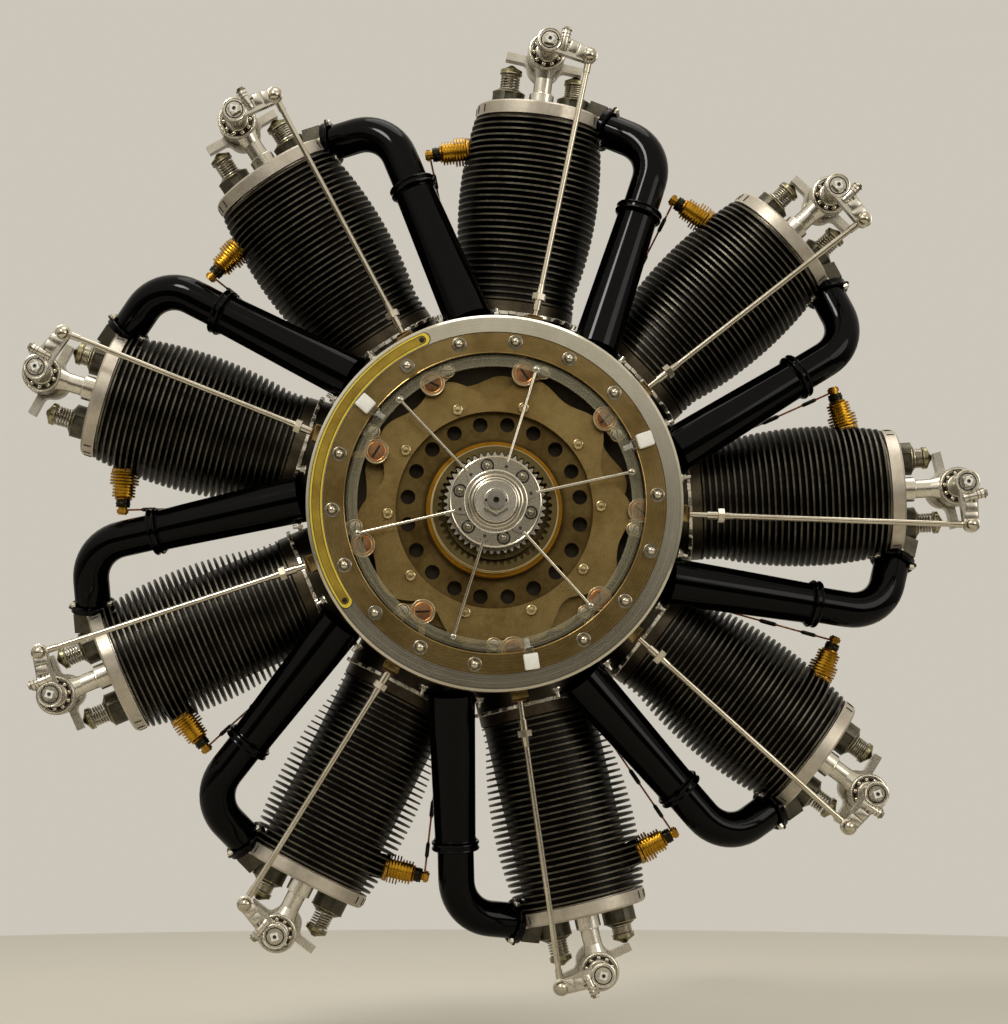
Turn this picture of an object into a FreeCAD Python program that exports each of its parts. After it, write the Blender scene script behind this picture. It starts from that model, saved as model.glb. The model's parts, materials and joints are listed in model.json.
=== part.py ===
"""Nine-cylinder rotary aircraft engine, in millimetres.

+Z is up, +X is to the right seen from the front, and the front looks along -Y.
The origin is on the crankshaft's axis, in the rear face of the bearer plate.
The crankshaft is still; crankcase and cylinders turn about the Y axis.
What belongs to one cylinder is made for a cylinder that points straight up:
X is then its tangential direction, Z its radial one.
"""
import FreeCAD, Part
import math
import os

from FreeCAD import Vector

# Main sizes
CYLINDERS = 9
BORE = 112.0
STROKE = 170.0
DRUM_R = 186.0
CYLINDER_Y = -220.0
FIRST_ANGLE = 6.85
RUNNING_GAP = 0.05
STATIC_GAP = 0.3
THROW = STROKE / 2
BORE_R = BORE / 2
ROD_LENGTH = DRUM_R + 89.0

# Crankshaft and its plates
SHAFT_R = 30.0
SHAFT_BORE_R = SHAFT_R - 10.0
SHAFT_TAIL = 230.0
FRONT_SHAFT_R = 22.0
PIN_R = 27.0
WEB_T = 16.0
WEB_GAP = 2.0
WEB_EDGE = 5.0
PLATE_R = 150.0
PLATE_T = 12.0
PLATE_BOSS_R = SHAFT_R + 18.0
PLATE_BOSS_LENGTH = 48.0
MOUNT_HOLES = 8
REAR_HOLES = 6
MOUNT_HOLE_R = 5.25
MOUNT_EDGE = 20.0
REAR_PLATE_R = PLATE_R - 60.0
REAR_PLATE_BACK = SHAFT_TAIL - 50.0
REAR_PLATE_T = 10.0

# Crankcase drum, lengths along Y
DRUM_WALL = 8.0
DRUM_BACK = CYLINDER_Y + 70.0
DRUM_FRONT = CYLINDER_Y - 76.0
FRONT_WALL = 8.0
REAR_BOSS_R = SHAFT_R + 40.0
REAR_BOSS_LENGTH = 65.0
REAR_BOSS_STEP = 14.0
REAR_BOSS_ROOT = 10.0
BEARING_LENGTH = 14.0
BEARING_T = 12.0
SEAT_R = BORE_R + 4.5
SEAT_TOP = DRUM_R + 13.0

# Cam case, its cover and clamp ring
RIM_R = DRUM_R + 2.0
RIM_INNER_R = RIM_R - 17.0
CASE_WALL_INNER_R = RIM_INNER_R + 3.0
FRONT_CASE_LENGTH = 28.0
RIM_DEPTH = 26.0
RIM_ROUND = 2.5
LEDGE_INNER_R = RIM_INNER_R - 7.0
LEDGE_T = 4.0
COVER_INNER_R = RIM_INNER_R - 34.0
COVER_T = 3.0
COVER_SETBACK = 6.0
LIP_WIDTH = 5.0
LIP_HEIGHT = 3.0
LIP_STEP = 1.0
CLAMP_INNER_R = RIM_INNER_R - 21.0
CLAMP_T = 4.0
STUDS = 18
STUD_CIRCLE_R = RIM_INNER_R - 9.0
STUD_ANGLE = 7.2
NYLON_EVERY = (5, 11, 16)
NUT_R = 6.8
NUT_HEIGHT = 6.0

# Cylinder, radial places measured from the crankshaft's axis
SKIRT_BOTTOM = SEAT_TOP - 18.0
SKIRT_WALL = 2.0
FLANGE_TOP = SEAT_TOP + 5.0
BAND_R = BORE_R + 4.0
BAND_TOP = FLANGE_TOP + 10.0
BARREL_R = BORE_R + 1.5
FINS = 30
FIRST_FIN = BAND_TOP + 2.0
FIN_T = 1.8
FIN_PEAK_R = BORE_R + 16.8
FIN_PEAK_AT = FIRST_FIN + 119.0
FIN_FALL = 6.5
FIN_FALL_SPAN = 72.0
HEAD_INSIDE = FIRST_FIN + 188.0
CAP_R = BORE_R + 9.0
CAP_BOTTOM = HEAD_INSIDE + 6.0
CAP_TOP = CAP_BOTTOM + 14.0
CAP_CHAMFER = 2.0
FIN_PITCH = (HEAD_INSIDE + 7.0 - FIRST_FIN) / FINS

# Piston
PISTON_CROWN = 40.0
PISTON_SKIRT = 28.0
PISTON_WALL = 5.0
CROWN_T = 9.0
RINGS = 3
RING_PITCH = 6.0
RING_HEIGHT = 2.0
RING_GROOVE = 1.6
WRIST_PIN_R = 10.0

# Valves
VALVE_OUT = 34.0
CAGE_R = 17.3
CAGE_TOP_R = 11.5
CAGE_SHOULDER = 16.5
CAGE_HEIGHT = 20.0
CAGE_SLOTS = 4
CAGE_SLOT_WIDTH = 9.0
CAGE_SLOT_DEPTH = 3.0
CAGE_SLOT_BOTTOM = 1.0
CAGE_ROOT = 2.0
STEM_R = 4.0
COIL_R = 10.25
COILS = 5
SPRING_CAP_R = 11.5
SPRING_CAP_T = 10.5
SPRING_CAP_EDGE = 5.0
SPRING_CAP_TIP_R = 2.0
VALVE_TOP = CAP_TOP + 47.0

# Rocker, its post and bearing
ROCKER_AT = CAP_TOP + 58.6
POST_R = 9.5
POST_Y = CYLINDER_Y - 25.0
COLLAR_R = 12.75
COLLAR_HEIGHT = 13.5
HOUSING_R = 20.0
HOUSING_WIDTH = 24.0
NECK_R = HOUSING_WIDTH / 2
NECK_LENGTH = 12.0
ROCKER_SHAFT_R = 8.0
RACE_R = HOUSING_R - 2.4
RACE_INNER_R = ROCKER_SHAFT_R + 2.5
RACE_DEPTH = 5.0
T_ARM_BOSS_R = 19.0
T_ARM_WIDTH = 16.0
T_ARM_HEEL = 10.0
T_ARM_HEEL_R = 18.0
T_ARM_REACH = 40.5
T_ARM_T = 8.2
T_ARM_BEND_R = 6.0
ARM_END_R = 7.5
ARM_T = 12.0
CLAMP_WIDTH = 13.0
CLAMP_HEIGHT = 9.0
CLAMP_AT = 14.0
CLAMP_SLOT = 1.2
CLAMP_SLOT_Z = 1.0
LEVER_DISC_R = 12.6
LEVER_BACK = POST_Y - 48.0
LEVER_WIDTH = 16.0
LEVER_ARM = 43.5
LEVER_DROP = 9.4
BALL_R = 7.5
BALL_Y = LEVER_BACK - 10.0
SQUARE_SIDE = 10.0
SQUARE_LENGTH = 6.0
REST_TILTS = (5.4, -3.3, -11.1, -5.2, -11.9, 11.1, -0.9, 11.9, 3.0)

# Pushrod and tappet
ROD_R = 2.9
ROD_END_R = 3.6
ROD_END_LENGTH = 9.0
ROD_FOOT_X = 18.0
ROD_FOOT_Z = DRUM_R + 4.0
ROD_FOOT_Y = DRUM_FRONT - 15.0
ROD_TOP_GAP = 0.9
SLEEVE_R = 4.2
SLEEVE_BOTTOM = DRUM_R + 21.0
LOCK_NUT_AT = DRUM_R + 32.0
LOCK_NUT_R = 6.0
LOCK_NUT_T = 6.0
GUIDE_HALF = 8.0
GUIDE_TOP = DRUM_R + 10.0
GUIDE_ROOT = 4.0
TAPPET_PIVOT_R = DRUM_R - 45.0
TAPPET_PIVOT_ANGLE = 13.6
TAPPET_ROLLER_ANGLE = 5.5
TAPPET_ROLLER_R = 12.5
TAPPET_ROLLER_AT = TAPPET_PIVOT_R - 3.5
TAPPET_PIN_R = 3.0
TAPPET_EYE_R = 6.5
TAPPET_GAP = 0.5
LUG_T = 3.0
LEVER_T = 4.0
ROLLER_T = 7.5
FOLLOWER_BAR_R = 3.5
FOLLOWER_BAR_AT = TAPPET_PIVOT_R + 17.0
FOLLOWER_BAR_LENGTH = 32.0
ROD_BOTTOM_Z = FOLLOWER_BAR_AT + FOLLOWER_BAR_R + 0.7
SCREW_HEAD_R = 5.6
SCREW_HEAD_T = 3.0

# Cam gear: an internal ring turns round an eccentric
MODULE = 2.2
RING_TEETH = 50
PINION_TEETH = 45
TOOTH_OUT = 1.75
TOOTH_IN = 2.1
TOOTH_ROOT = 0.5
MESH_EASE = 0.2
GEAR_WIDTH = 14.0
GEAR_RIM_R = MODULE * RING_TEETH / 2 + 8.0
GEAR_STEP_R = GEAR_RIM_R + 5.0
ECCENTRIC_R = 40.0
ECCENTRIC_LENGTH = 28.0
DRUM_HUB_R = ECCENTRIC_R + 10.0
DRUM_HUB_STEP = 2.0
CAM_WEB_T = 6.0
CAM_LOBES = 5
CAM_APEX_R = TAPPET_PIVOT_R - 3.5
CAM_DIP_R = CAM_APEX_R - 8.5
CAM_VALLEY_R = CAM_APEX_R - 22.5
CAM_RING_R = CAM_VALLEY_R - 5.0
CAM_INNER_R = CAM_RING_R - 11.0
CAM_HOLES = 20
CAM_HOLE_R = 0.24 * (CAM_INNER_R - GEAR_STEP_R)
CAM_HOLE_CIRCLE_R = GEAR_STEP_R + 0.63 * (CAM_INNER_R - GEAR_STEP_R)
CAM_HOLE_ANGLE = 8.9
CAM_APEX_ANGLE = 21.0
CAM_ANGLE = -2.2
REAR_CAM_ANGLE = 25.0
CAM_T = 7.0
CAM_RING_LENGTH = 12.0
CAM_BOLTS = 10
CAM_BOLT_CIRCLE_R = CAM_RING_R - 3.0
CAM_BOLT_ANGLE = 15.8
CAM_BOLT_R = 4.2
CAM_BOLT_HEAD = 3.0
WALL_HOLE_R = 11.1

# Hub, its six rods and the nose nut
HUB_R = 46.0
HUB_T = 8.0
HUB_NECK_R = HUB_R - 6.0
HUB_NECK_LENGTH = 8.0
HUB_BOLTS = 6
HUB_BOLT_ANGLE = 47.2
HUB_BOLT_CIRCLE_R = HUB_R - 9.3
HUB_BOLT_R = 4.6
HUB_BOLT_HEIGHT = 4.0
EAR_RING_R = HUB_BOLT_CIRCLE_R - HUB_BOLT_R - 2 * STATIC_GAP
EAR_AT = EAR_RING_R + 5.2
EAR_R = 4.5
EAR_T = 3.0
SPOKES = 6
SPOKE_ANGLE = 17.2
SPOKE_R = 1.7
SPOKE_HUB_R = EAR_RING_R + 4.2
SPOKE_LIP_R = COVER_INNER_R + LIP_WIDTH / 2
EYE_R = 4.0
EYE_T = 4.0
SHAFT_STEP = 4.0
NOSE_STUD_R = 9.0
NOSE_LENGTH = 20.0
WASHER_R = 21.5
WASHER_T = 3.0
NOSE_NUT_R = 14.0
NOSE_NUT_T = 12.0

# Inlet pipe, centre line seen from the front
PIPE_FOOT_ANGLE = 25.68
PIPE_FOOT_AT = DRUM_R + 7.84
PIPE_FOOT_Y = DRUM_FRONT + 4.0
PIPE_JOINT = (113.0, CYLINDER_Y - 42.0, CAP_TOP - 104.0)
PIPE_CORNER_RUN = 77.6
PIPE_END = (BORE_R + 18.0, CYLINDER_Y - 4.0, CAP_TOP - 10.0)
PIPE_FOOT_R = 24.0
PIPE_JOINT_R = 20.7
ELBOW_R = 18.5
ELBOW_BEND = 45.0
PIPE_WALL = 1.5
PIPE_COLLAR_R = PIPE_JOINT_R + 2.3
PIPE_COLLAR_T = 8.0
PIPE_FLANGE_R = ELBOW_R + 4.5
PIPE_FLANGE_T = 6.0
PORT_WIDTH = 40.0
PORT_HEIGHT = 30.0
PORT_DEPTH = 20.0
POCKET_GAP = 1.0
POCKET_DEPTH = 16.0
SADDLE_R = 17.0
SADDLE_SPAN = 40.0
SADDLE_T = 8.0
SADDLE_Y = PIPE_FOOT_Y - 6.5

# Spark plug
PLUG_SEAT = (-BORE_R - 11.0, CAP_TOP - 49.0)
PLUG_TIP = (-BORE_R - 57.0, CAP_TOP - 60.0)
PLUG_BOSS_R = 13.0
PLUG_BOSS_DEPTH = 14.0
PLUG_BODY_R = 9.5
PLUG_BIG_FIN_R = 15.0
PLUG_SMALL_FIN_R = 12.0
PLUG_FIN_T = 1.5
PLUG_FIN_PITCH = 3.2
PLUG_FIRST_FIN = 5.0
PLUG_COLLAR_T = 3.0
PLUG_BIG_FINS = 4
PLUG_SMALL_FINS = 4
INSULATOR_R = 7.3
INSULATOR_LENGTH = 9.0
TERMINAL_R = 4.7

# Ignition
DISTRIBUTOR_R = DRUM_R - 26.0
DISTRIBUTOR_INNER_R = REAR_BOSS_R + 42.0
DISTRIBUTOR_T = 10.0
CONTACT = (-30.0, DISTRIBUTOR_R - 10.0)
CONTACT_R = 3.5
CONTACT_LENGTH = 8.0
WIRE_R = 1.0
MAGNETO_R = 34.0
MAGNETO_AT = -(PLATE_R - 38.0)
MAGNETO_LENGTH = 70.0
MAGNETO_FOOT = 60.0
MAGNETO_FOOT_T = 8.0
MAGNETO_SHAFT_LENGTH = 8.0

# Carburettor on the tail of the shaft
CARB_R = 34.0
CARB_LENGTH = 60.0
CARB_PIPE_R = 24.0
CARB_PIPE_WALL = 3.0
CARB_PIPE_LENGTH = 110.0
THRUST_BLOCK_R = PIN_R + 27.0
THRUST_BLOCK_WIDTH = 62.0

# Worked-out places
PISTON_R = BORE_R - RUNNING_GAP
T_ARM_BOTTOM = VALVE_TOP + STATIC_GAP - ROCKER_AT
CASE_BACK = DRUM_FRONT - FRONT_WALL
CASE_SPLIT = CASE_BACK - FRONT_CASE_LENGTH
RIM_FRONT = CASE_SPLIT - RIM_DEPTH
COVER_FRONT = RIM_FRONT + COVER_SETBACK
COVER_BACK = COVER_FRONT + COVER_T
CLAMP_FRONT = COVER_FRONT - CLAMP_T
LIP_FRONT = COVER_FRONT - LIP_HEIGHT
REAR_CAM_FRONT = CASE_BACK - 5.0 - CAM_T
CAM_RING_FRONT = REAR_CAM_FRONT - CAM_RING_LENGTH
FRONT_CAM_FRONT = CAM_RING_FRONT - CAM_T
LUG_BACK = FRONT_CAM_FRONT - TAPPET_GAP
LUG_FRONT = LUG_BACK - LUG_T
TAPPET_BACK = LUG_FRONT - TAPPET_GAP
ECCENTRICITY = MODULE * (RING_TEETH - PINION_TEETH) / 2
RING_PITCH_R = MODULE * RING_TEETH / 2
PINION_PITCH_R = MODULE * PINION_TEETH / 2
ECCENTRIC_BACK = CASE_BACK - 4.0
ECCENTRIC_FRONT = ECCENTRIC_BACK - ECCENTRIC_LENGTH
HUB_BACK = COVER_FRONT
GEAR_BACK = HUB_BACK + GEAR_WIDTH
HUB_FRONT = HUB_BACK - HUB_NECK_LENGTH - HUB_T
SHAFT_FRONT = HUB_FRONT - SHAFT_STEP
PIN_BACK = CYLINDER_Y + THRUST_BLOCK_WIDTH / 2 + WEB_GAP
PIN_FRONT = CYLINDER_Y - THRUST_BLOCK_WIDTH / 2 - WEB_GAP
UP = Vector(0, 0, 1)
BACKWARD = Vector(0, 1, 0)
ORIGIN = Vector(0, 0, 0)
CRANK_CENTRE = (0.0, 0.0)
CAM_CENTRE_Z = -ECCENTRICITY


def polar(angle, radius):
    """X and Z of a point at a clockwise angle from the top."""
    turn = math.radians(angle)
    return radius * math.sin(turn), radius * math.cos(turn)


def turned_about_y(shape, angle):
    """A copy of the shape, turned clockwise about the crankshaft's axis."""
    copy = shape.copy()
    copy.rotate(ORIGIN, BACKWARD, angle)
    return copy


def round_the_engine(shape):
    """One copy of the shape for each cylinder."""
    return [turned_about_y(shape, cylinder_angle(k)) for k in range(CYLINDERS)]


def cylinder_angle(k):
    return FIRST_ANGLE + 360.0 * k / CYLINDERS


def disc(radius, front, back, x=0.0, z=0.0):
    """A disc or shaft along Y."""
    return Part.makeCylinder(radius, back - front, Vector(x, front, z), BACKWARD)


def ring(outer, inner, front, back, x=0.0, z=0.0):
    return disc(outer, front, back, x, z).cut(disc(inner, front - 1, back + 1, x, z))


def rod(start, end, radius, end_radius=None):
    """A round bar between two points, or a cone when it has a second radius."""
    way = end - start
    if end_radius is None:
        return Part.makeCylinder(radius, way.Length, start, way)
    return Part.makeCone(radius, end_radius, way.Length, start, way)


def turned(profile, along=UP):
    """A solid turned from (radius, place along the axis) points."""
    if along == UP:
        points = [Vector(r, 0, h) for r, h in profile]
    else:
        points = [Vector(r, h, 0) for r, h in profile]
    wire = Part.makePolygon(points + [points[0]])
    return Part.Face(wire).revolve(ORIGIN, along, 360)


def link(start, start_r, end, end_r, front, back):
    """A flat link along Y: two round ends joined by their tangents."""
    dx, dz = end[0] - start[0], end[1] - start[1]
    heading = math.atan2(dz, dx)
    swing = math.acos((start_r - end_r) / math.hypot(dx, dz))

    def on(centre, radius, angle):
        x = centre[0] + radius * math.cos(angle)
        z = centre[1] + radius * math.sin(angle)
        return Vector(x, front, z)

    first = on(start, start_r, heading + swing)
    second = on(start, start_r, heading - swing)
    third = on(end, end_r, heading - swing)
    fourth = on(end, end_r, heading + swing)
    edges = [
        Part.Arc(first, on(start, start_r, heading + math.pi), second).toShape(),
        Part.LineSegment(second, third).toShape(),
        Part.Arc(third, on(end, end_r, heading), fourth).toShape(),
        Part.LineSegment(fourth, first).toShape(),
    ]
    return Part.Face(Part.Wire(edges)).extrude(Vector(0, back - front, 0))


def hexagon(radius, front, back, x=0.0, z=0.0):
    corners = []
    for i in range(7):
        dx, dz = polar(60 * i, radius)
        corners.append(Vector(x + dx, front, z + dz))
    return Part.Face(Part.makePolygon(corners)).extrude(Vector(0, back - front, 0))


def fused(first, *others):
    return first.fuse(list(others)).removeSplitter()


def save(name, *shapes):
    """Write the solids of one sub-part."""
    solids = [solid for shape in shapes for solid in shape.Solids]
    whole = solids[0] if len(solids) == 1 else Part.makeCompound(solids)
    whole.exportStep("parts/" + name + ".step")


# Crankshaft, plates, magneto and carburettor: what stands still

def crankshaft():
    throw = (0.0, THROW)
    tail = disc(SHAFT_R, PIN_BACK + WEB_T, SHAFT_TAIL)
    web_r = PIN_R + WEB_EDGE
    rear_web = link(CRANK_CENTRE, web_r + 2, throw, web_r, PIN_BACK, PIN_BACK + WEB_T)
    pin = disc(PIN_R, PIN_FRONT, PIN_BACK, 0, THROW)
    front_web = link(CRANK_CENTRE, web_r - 2, throw, web_r, PIN_FRONT - WEB_T, PIN_FRONT)
    nose = disc(FRONT_SHAFT_R, SHAFT_FRONT, PIN_FRONT - WEB_T)
    eccentric = disc(ECCENTRIC_R, ECCENTRIC_FRONT, ECCENTRIC_BACK, 0, CAM_CENTRE_Z)
    stud = disc(NOSE_STUD_R, SHAFT_FRONT - NOSE_LENGTH, SHAFT_FRONT)
    centre_hole = disc(NOSE_STUD_R / 3, SHAFT_FRONT - NOSE_LENGTH - 1, SHAFT_FRONT)
    bore = disc(SHAFT_BORE_R, PIN_BACK + 2 * WEB_T, SHAFT_TAIL + 1)
    solid = fused(tail, rear_web, pin, front_web, nose, eccentric, stud)
    return solid.cut(bore).cut(centre_hole)


def nose_nut():
    nut_front = SHAFT_FRONT - WASHER_T - NOSE_NUT_T
    hole_r = NOSE_STUD_R + RUNNING_GAP
    washer = ring(WASHER_R, hole_r, SHAFT_FRONT - WASHER_T, SHAFT_FRONT)
    nut = hexagon(NOSE_NUT_R, nut_front, SHAFT_FRONT - WASHER_T)
    nut = nut.cut(disc(hole_r, nut_front - 1, SHAFT_FRONT))
    return [washer, nut]


def plate(radius, front, back, holes):
    """A bearer plate with a ring of bolt holes and a bore for the shaft."""
    solid = disc(radius, front, back)
    solid = solid.cut(disc(SHAFT_R + RUNNING_GAP, front - 1, back + 1))
    for i in range(holes):
        x, z = polar(360.0 * i / holes, radius - MOUNT_EDGE)
        solid = solid.cut(disc(MOUNT_HOLE_R, front - 1, back + 1, x, z))
    return solid


def mount_plates():
    front = plate(PLATE_R, -PLATE_T, 0, MOUNT_HOLES)
    boss_end = -PLATE_T - PLATE_BOSS_LENGTH
    boss = turned([
        (SHAFT_R + RUNNING_GAP, -PLATE_T),
        (PLATE_BOSS_R * 1.5, -PLATE_T),
        (PLATE_BOSS_R, -PLATE_T * 2),
        (PLATE_BOSS_R, boss_end),
        (SHAFT_R + RUNNING_GAP, boss_end),
    ], BACKWARD)
    rear_front = REAR_PLATE_BACK - REAR_PLATE_T
    rear = plate(REAR_PLATE_R, rear_front, REAR_PLATE_BACK, REAR_HOLES)
    return [fused(front, boss), rear]


def magneto():
    """Round-topped magneto on the front of the bearer plate, below the shaft."""
    front = -PLATE_T - MAGNETO_LENGTH
    body = disc(MAGNETO_R, front, -PLATE_T, 0, MAGNETO_AT)
    foot = Part.makeBox(
        MAGNETO_FOOT, MAGNETO_LENGTH, MAGNETO_FOOT_T,
        Vector(-MAGNETO_FOOT / 2, front, MAGNETO_AT - MAGNETO_R),
    )
    shaft = disc(MAGNETO_R / 4, front - MAGNETO_SHAFT_LENGTH, front, 0, MAGNETO_AT)
    return fused(body, foot, shaft)


def carburettor():
    """A body on the shaft's tail with a cross pipe for the air."""
    front = SHAFT_TAIL
    middle = front + CARB_LENGTH / 2
    body = disc(CARB_R, front, front + CARB_LENGTH)
    left = Vector(-CARB_PIPE_LENGTH / 2, middle, 0)
    right = Vector(CARB_PIPE_LENGTH / 2, middle, 0)
    solid = fused(body, rod(left, right, CARB_PIPE_R))
    solid = solid.cut(rod(left, right, CARB_PIPE_R - CARB_PIPE_WALL))
    return solid.cut(disc(SHAFT_BORE_R, front - 1, middle))


# Crankcase

def crankcase_drum():
    """Drum with nine cylinder seats and the long rear boss."""
    solid = disc(DRUM_R, DRUM_FRONT, DRUM_BACK)
    inside = DRUM_R - DRUM_WALL
    seat_bottom = inside * math.cos(math.asin(SEAT_R / DRUM_R))
    seat = rod(Vector(0, CYLINDER_Y, seat_bottom), Vector(0, CYLINDER_Y, SEAT_TOP), SEAT_R)
    solid = fused(solid, *round_the_engine(seat))
    solid = solid.cut(disc(inside, DRUM_FRONT - 1, DRUM_BACK - DRUM_WALL))
    bore_r = BORE_R + SKIRT_WALL + STATIC_GAP
    bore = rod(Vector(0, CYLINDER_Y, REAR_BOSS_R), Vector(0, CYLINDER_Y, SEAT_TOP + 1), bore_r)
    solid = solid.cut(round_the_engine(bore))
    solid = solid.cut(disc(REAR_BOSS_R - DRUM_WALL, DRUM_BACK - DRUM_WALL - 1, DRUM_BACK + 1))
    return fused(solid, rear_boss())


def rear_boss():
    """Tapered boss that carries the crankcase on the shaft with two bearings."""
    end = DRUM_BACK + REAR_BOSS_LENGTH
    inside = DRUM_BACK - DRUM_WALL
    hole_r = SHAFT_R + RUNNING_GAP
    hollow_r = SHAFT_R + BEARING_T
    tip_r = REAR_BOSS_R - REAR_BOSS_STEP
    return turned([
        (hole_r, inside),
        (REAR_BOSS_R, inside),
        (REAR_BOSS_R, DRUM_BACK + REAR_BOSS_ROOT),
        (tip_r, end - REAR_BOSS_ROOT),
        (tip_r, end),
        (hole_r, end),
        (hole_r, end - BEARING_LENGTH),
        (hollow_r, end - BEARING_LENGTH),
        (hollow_r, inside + BEARING_LENGTH),
        (hole_r, inside + BEARING_LENGTH),
    ], BACKWARD)


def crankcase_front():
    """Wall in front of the drum and the rear half of the cam case, with the pushrod guides."""
    wall = ring(DRUM_R, FRONT_SHAFT_R + RUNNING_GAP, CASE_BACK, DRUM_FRONT)
    case = ring(DRUM_R, CASE_WALL_INNER_R, CASE_SPLIT, CASE_BACK)
    solid = fused(wall, case, *round_the_engine(pushrod_guide()))
    line = rod(rod_point(ROD_BOTTOM_Z), rod_point(GUIDE_TOP + 10), ROD_R + RUNNING_GAP)
    solid = solid.cut(round_the_engine(line))
    for k in range(CYLINDERS):
        x, z = polar(cylinder_angle(k), (CAM_INNER_R + CAM_APEX_R) / 2)
        solid = solid.cut(disc(WALL_HOLE_R, CASE_BACK - 1, DRUM_FRONT + 1, x, z))
    return solid


def cam_case_ring():
    """Polished front ring of the cam case, with the tappets' lugs inside."""
    solid = turned([
        (CASE_WALL_INNER_R, CASE_SPLIT),
        (RIM_R, CASE_SPLIT),
        (RIM_R, RIM_FRONT + RIM_ROUND),
        (RIM_R - RIM_ROUND, RIM_FRONT),
        (RIM_INNER_R, RIM_FRONT),
        (RIM_INNER_R, COVER_BACK),
        (LEDGE_INNER_R, COVER_BACK),
        (LEDGE_INNER_R, COVER_BACK + LEDGE_T),
        (CASE_WALL_INNER_R, COVER_BACK + LEDGE_T),
    ], BACKWARD)
    return fused(solid, *round_the_engine(tappet_lug()))


def tappet_lug():
    pivot = polar(TAPPET_PIVOT_ANGLE, TAPPET_PIVOT_R)
    root = polar(TAPPET_PIVOT_ANGLE, CASE_WALL_INNER_R)
    return link(pivot, TAPPET_EYE_R, root, TAPPET_EYE_R, LUG_FRONT, LUG_BACK)


def pushrod_guide():
    foot = rod_point(GUIDE_TOP)
    low = CASE_WALL_INNER_R + GUIDE_ROOT
    corner = Vector(foot.x - GUIDE_HALF, ROD_FOOT_Y - GUIDE_HALF + 1, low)
    depth = CASE_BACK - corner.y
    return Part.makeBox(2 * GUIDE_HALF, depth, GUIDE_TOP - low, corner)


def clear_cover():
    """Flat clear ring with a raised lip and a second low step."""
    step_r = COVER_INNER_R + 2 * LIP_WIDTH
    outer = RIM_INNER_R - STATIC_GAP
    return turned([
        (COVER_INNER_R, COVER_BACK),
        (outer, COVER_BACK),
        (outer, COVER_FRONT),
        (step_r, COVER_FRONT),
        (step_r, COVER_FRONT - LIP_STEP),
        (COVER_INNER_R + LIP_WIDTH, COVER_FRONT - LIP_STEP),
        (COVER_INNER_R + LIP_WIDTH, LIP_FRONT),
        (COVER_INNER_R, LIP_FRONT),
    ], BACKWARD)


def cover_clamp():
    return ring(RIM_INNER_R - STATIC_GAP, CLAMP_INNER_R, CLAMP_FRONT, COVER_FRONT)


def domed_nut(radius, height, front, x, z):
    """Hexagon with a round dome in front of it."""
    body = hexagon(radius, front - height / 2, front, x, z)
    dome = Part.makeSphere(radius * 0.8, Vector(x, front - height / 2 + radius * 0.25, z))
    lower = disc(radius * 1.2, front - height / 2, front + radius, x, z)
    return fused(body, dome.cut(lower))


def fasteners():
    """Clamp nuts and screws, hub bolts and the screws the tappets turn on."""
    pieces = []
    for i in range(STUDS):
        x, z = polar(STUD_ANGLE + 360.0 * i / STUDS, STUD_CIRCLE_R)
        if i in NYLON_EVERY:
            continue
        pieces.append(domed_nut(NUT_R, NUT_HEIGHT, CLAMP_FRONT, x, z))
    for i in NYLON_EVERY:
        x, z = polar(STUD_ANGLE + 360.0 * i / STUDS, STUD_CIRCLE_R)
        pieces.append(disc(NUT_R, CLAMP_FRONT - NUT_HEIGHT, CLAMP_FRONT, x, z))
    for i in range(HUB_BOLTS):
        x, z = polar(HUB_BOLT_ANGLE + 360.0 * i / HUB_BOLTS, HUB_BOLT_CIRCLE_R)
        pieces.append(domed_nut(HUB_BOLT_R, HUB_BOLT_HEIGHT, HUB_FRONT, x, z))
    x, z = polar(TAPPET_PIVOT_ANGLE, TAPPET_PIVOT_R)
    head_back = TAPPET_BACK - LEVER_T - STATIC_GAP
    screw = fused(
        disc(TAPPET_PIN_R, head_back, LUG_FRONT, x, z),
        disc(SCREW_HEAD_R, head_back - SCREW_HEAD_T, head_back, x, z),
    )
    return pieces + round_the_engine(screw)


# Cylinders, pistons and valves

def fin_radius(height):
    """Fins swell toward the middle of the barrel."""
    fall = FIN_FALL * ((height - FIN_PEAK_AT) / FIN_FALL_SPAN) ** 2
    return max(FIN_PEAK_R - fall, BAND_R)


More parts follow.
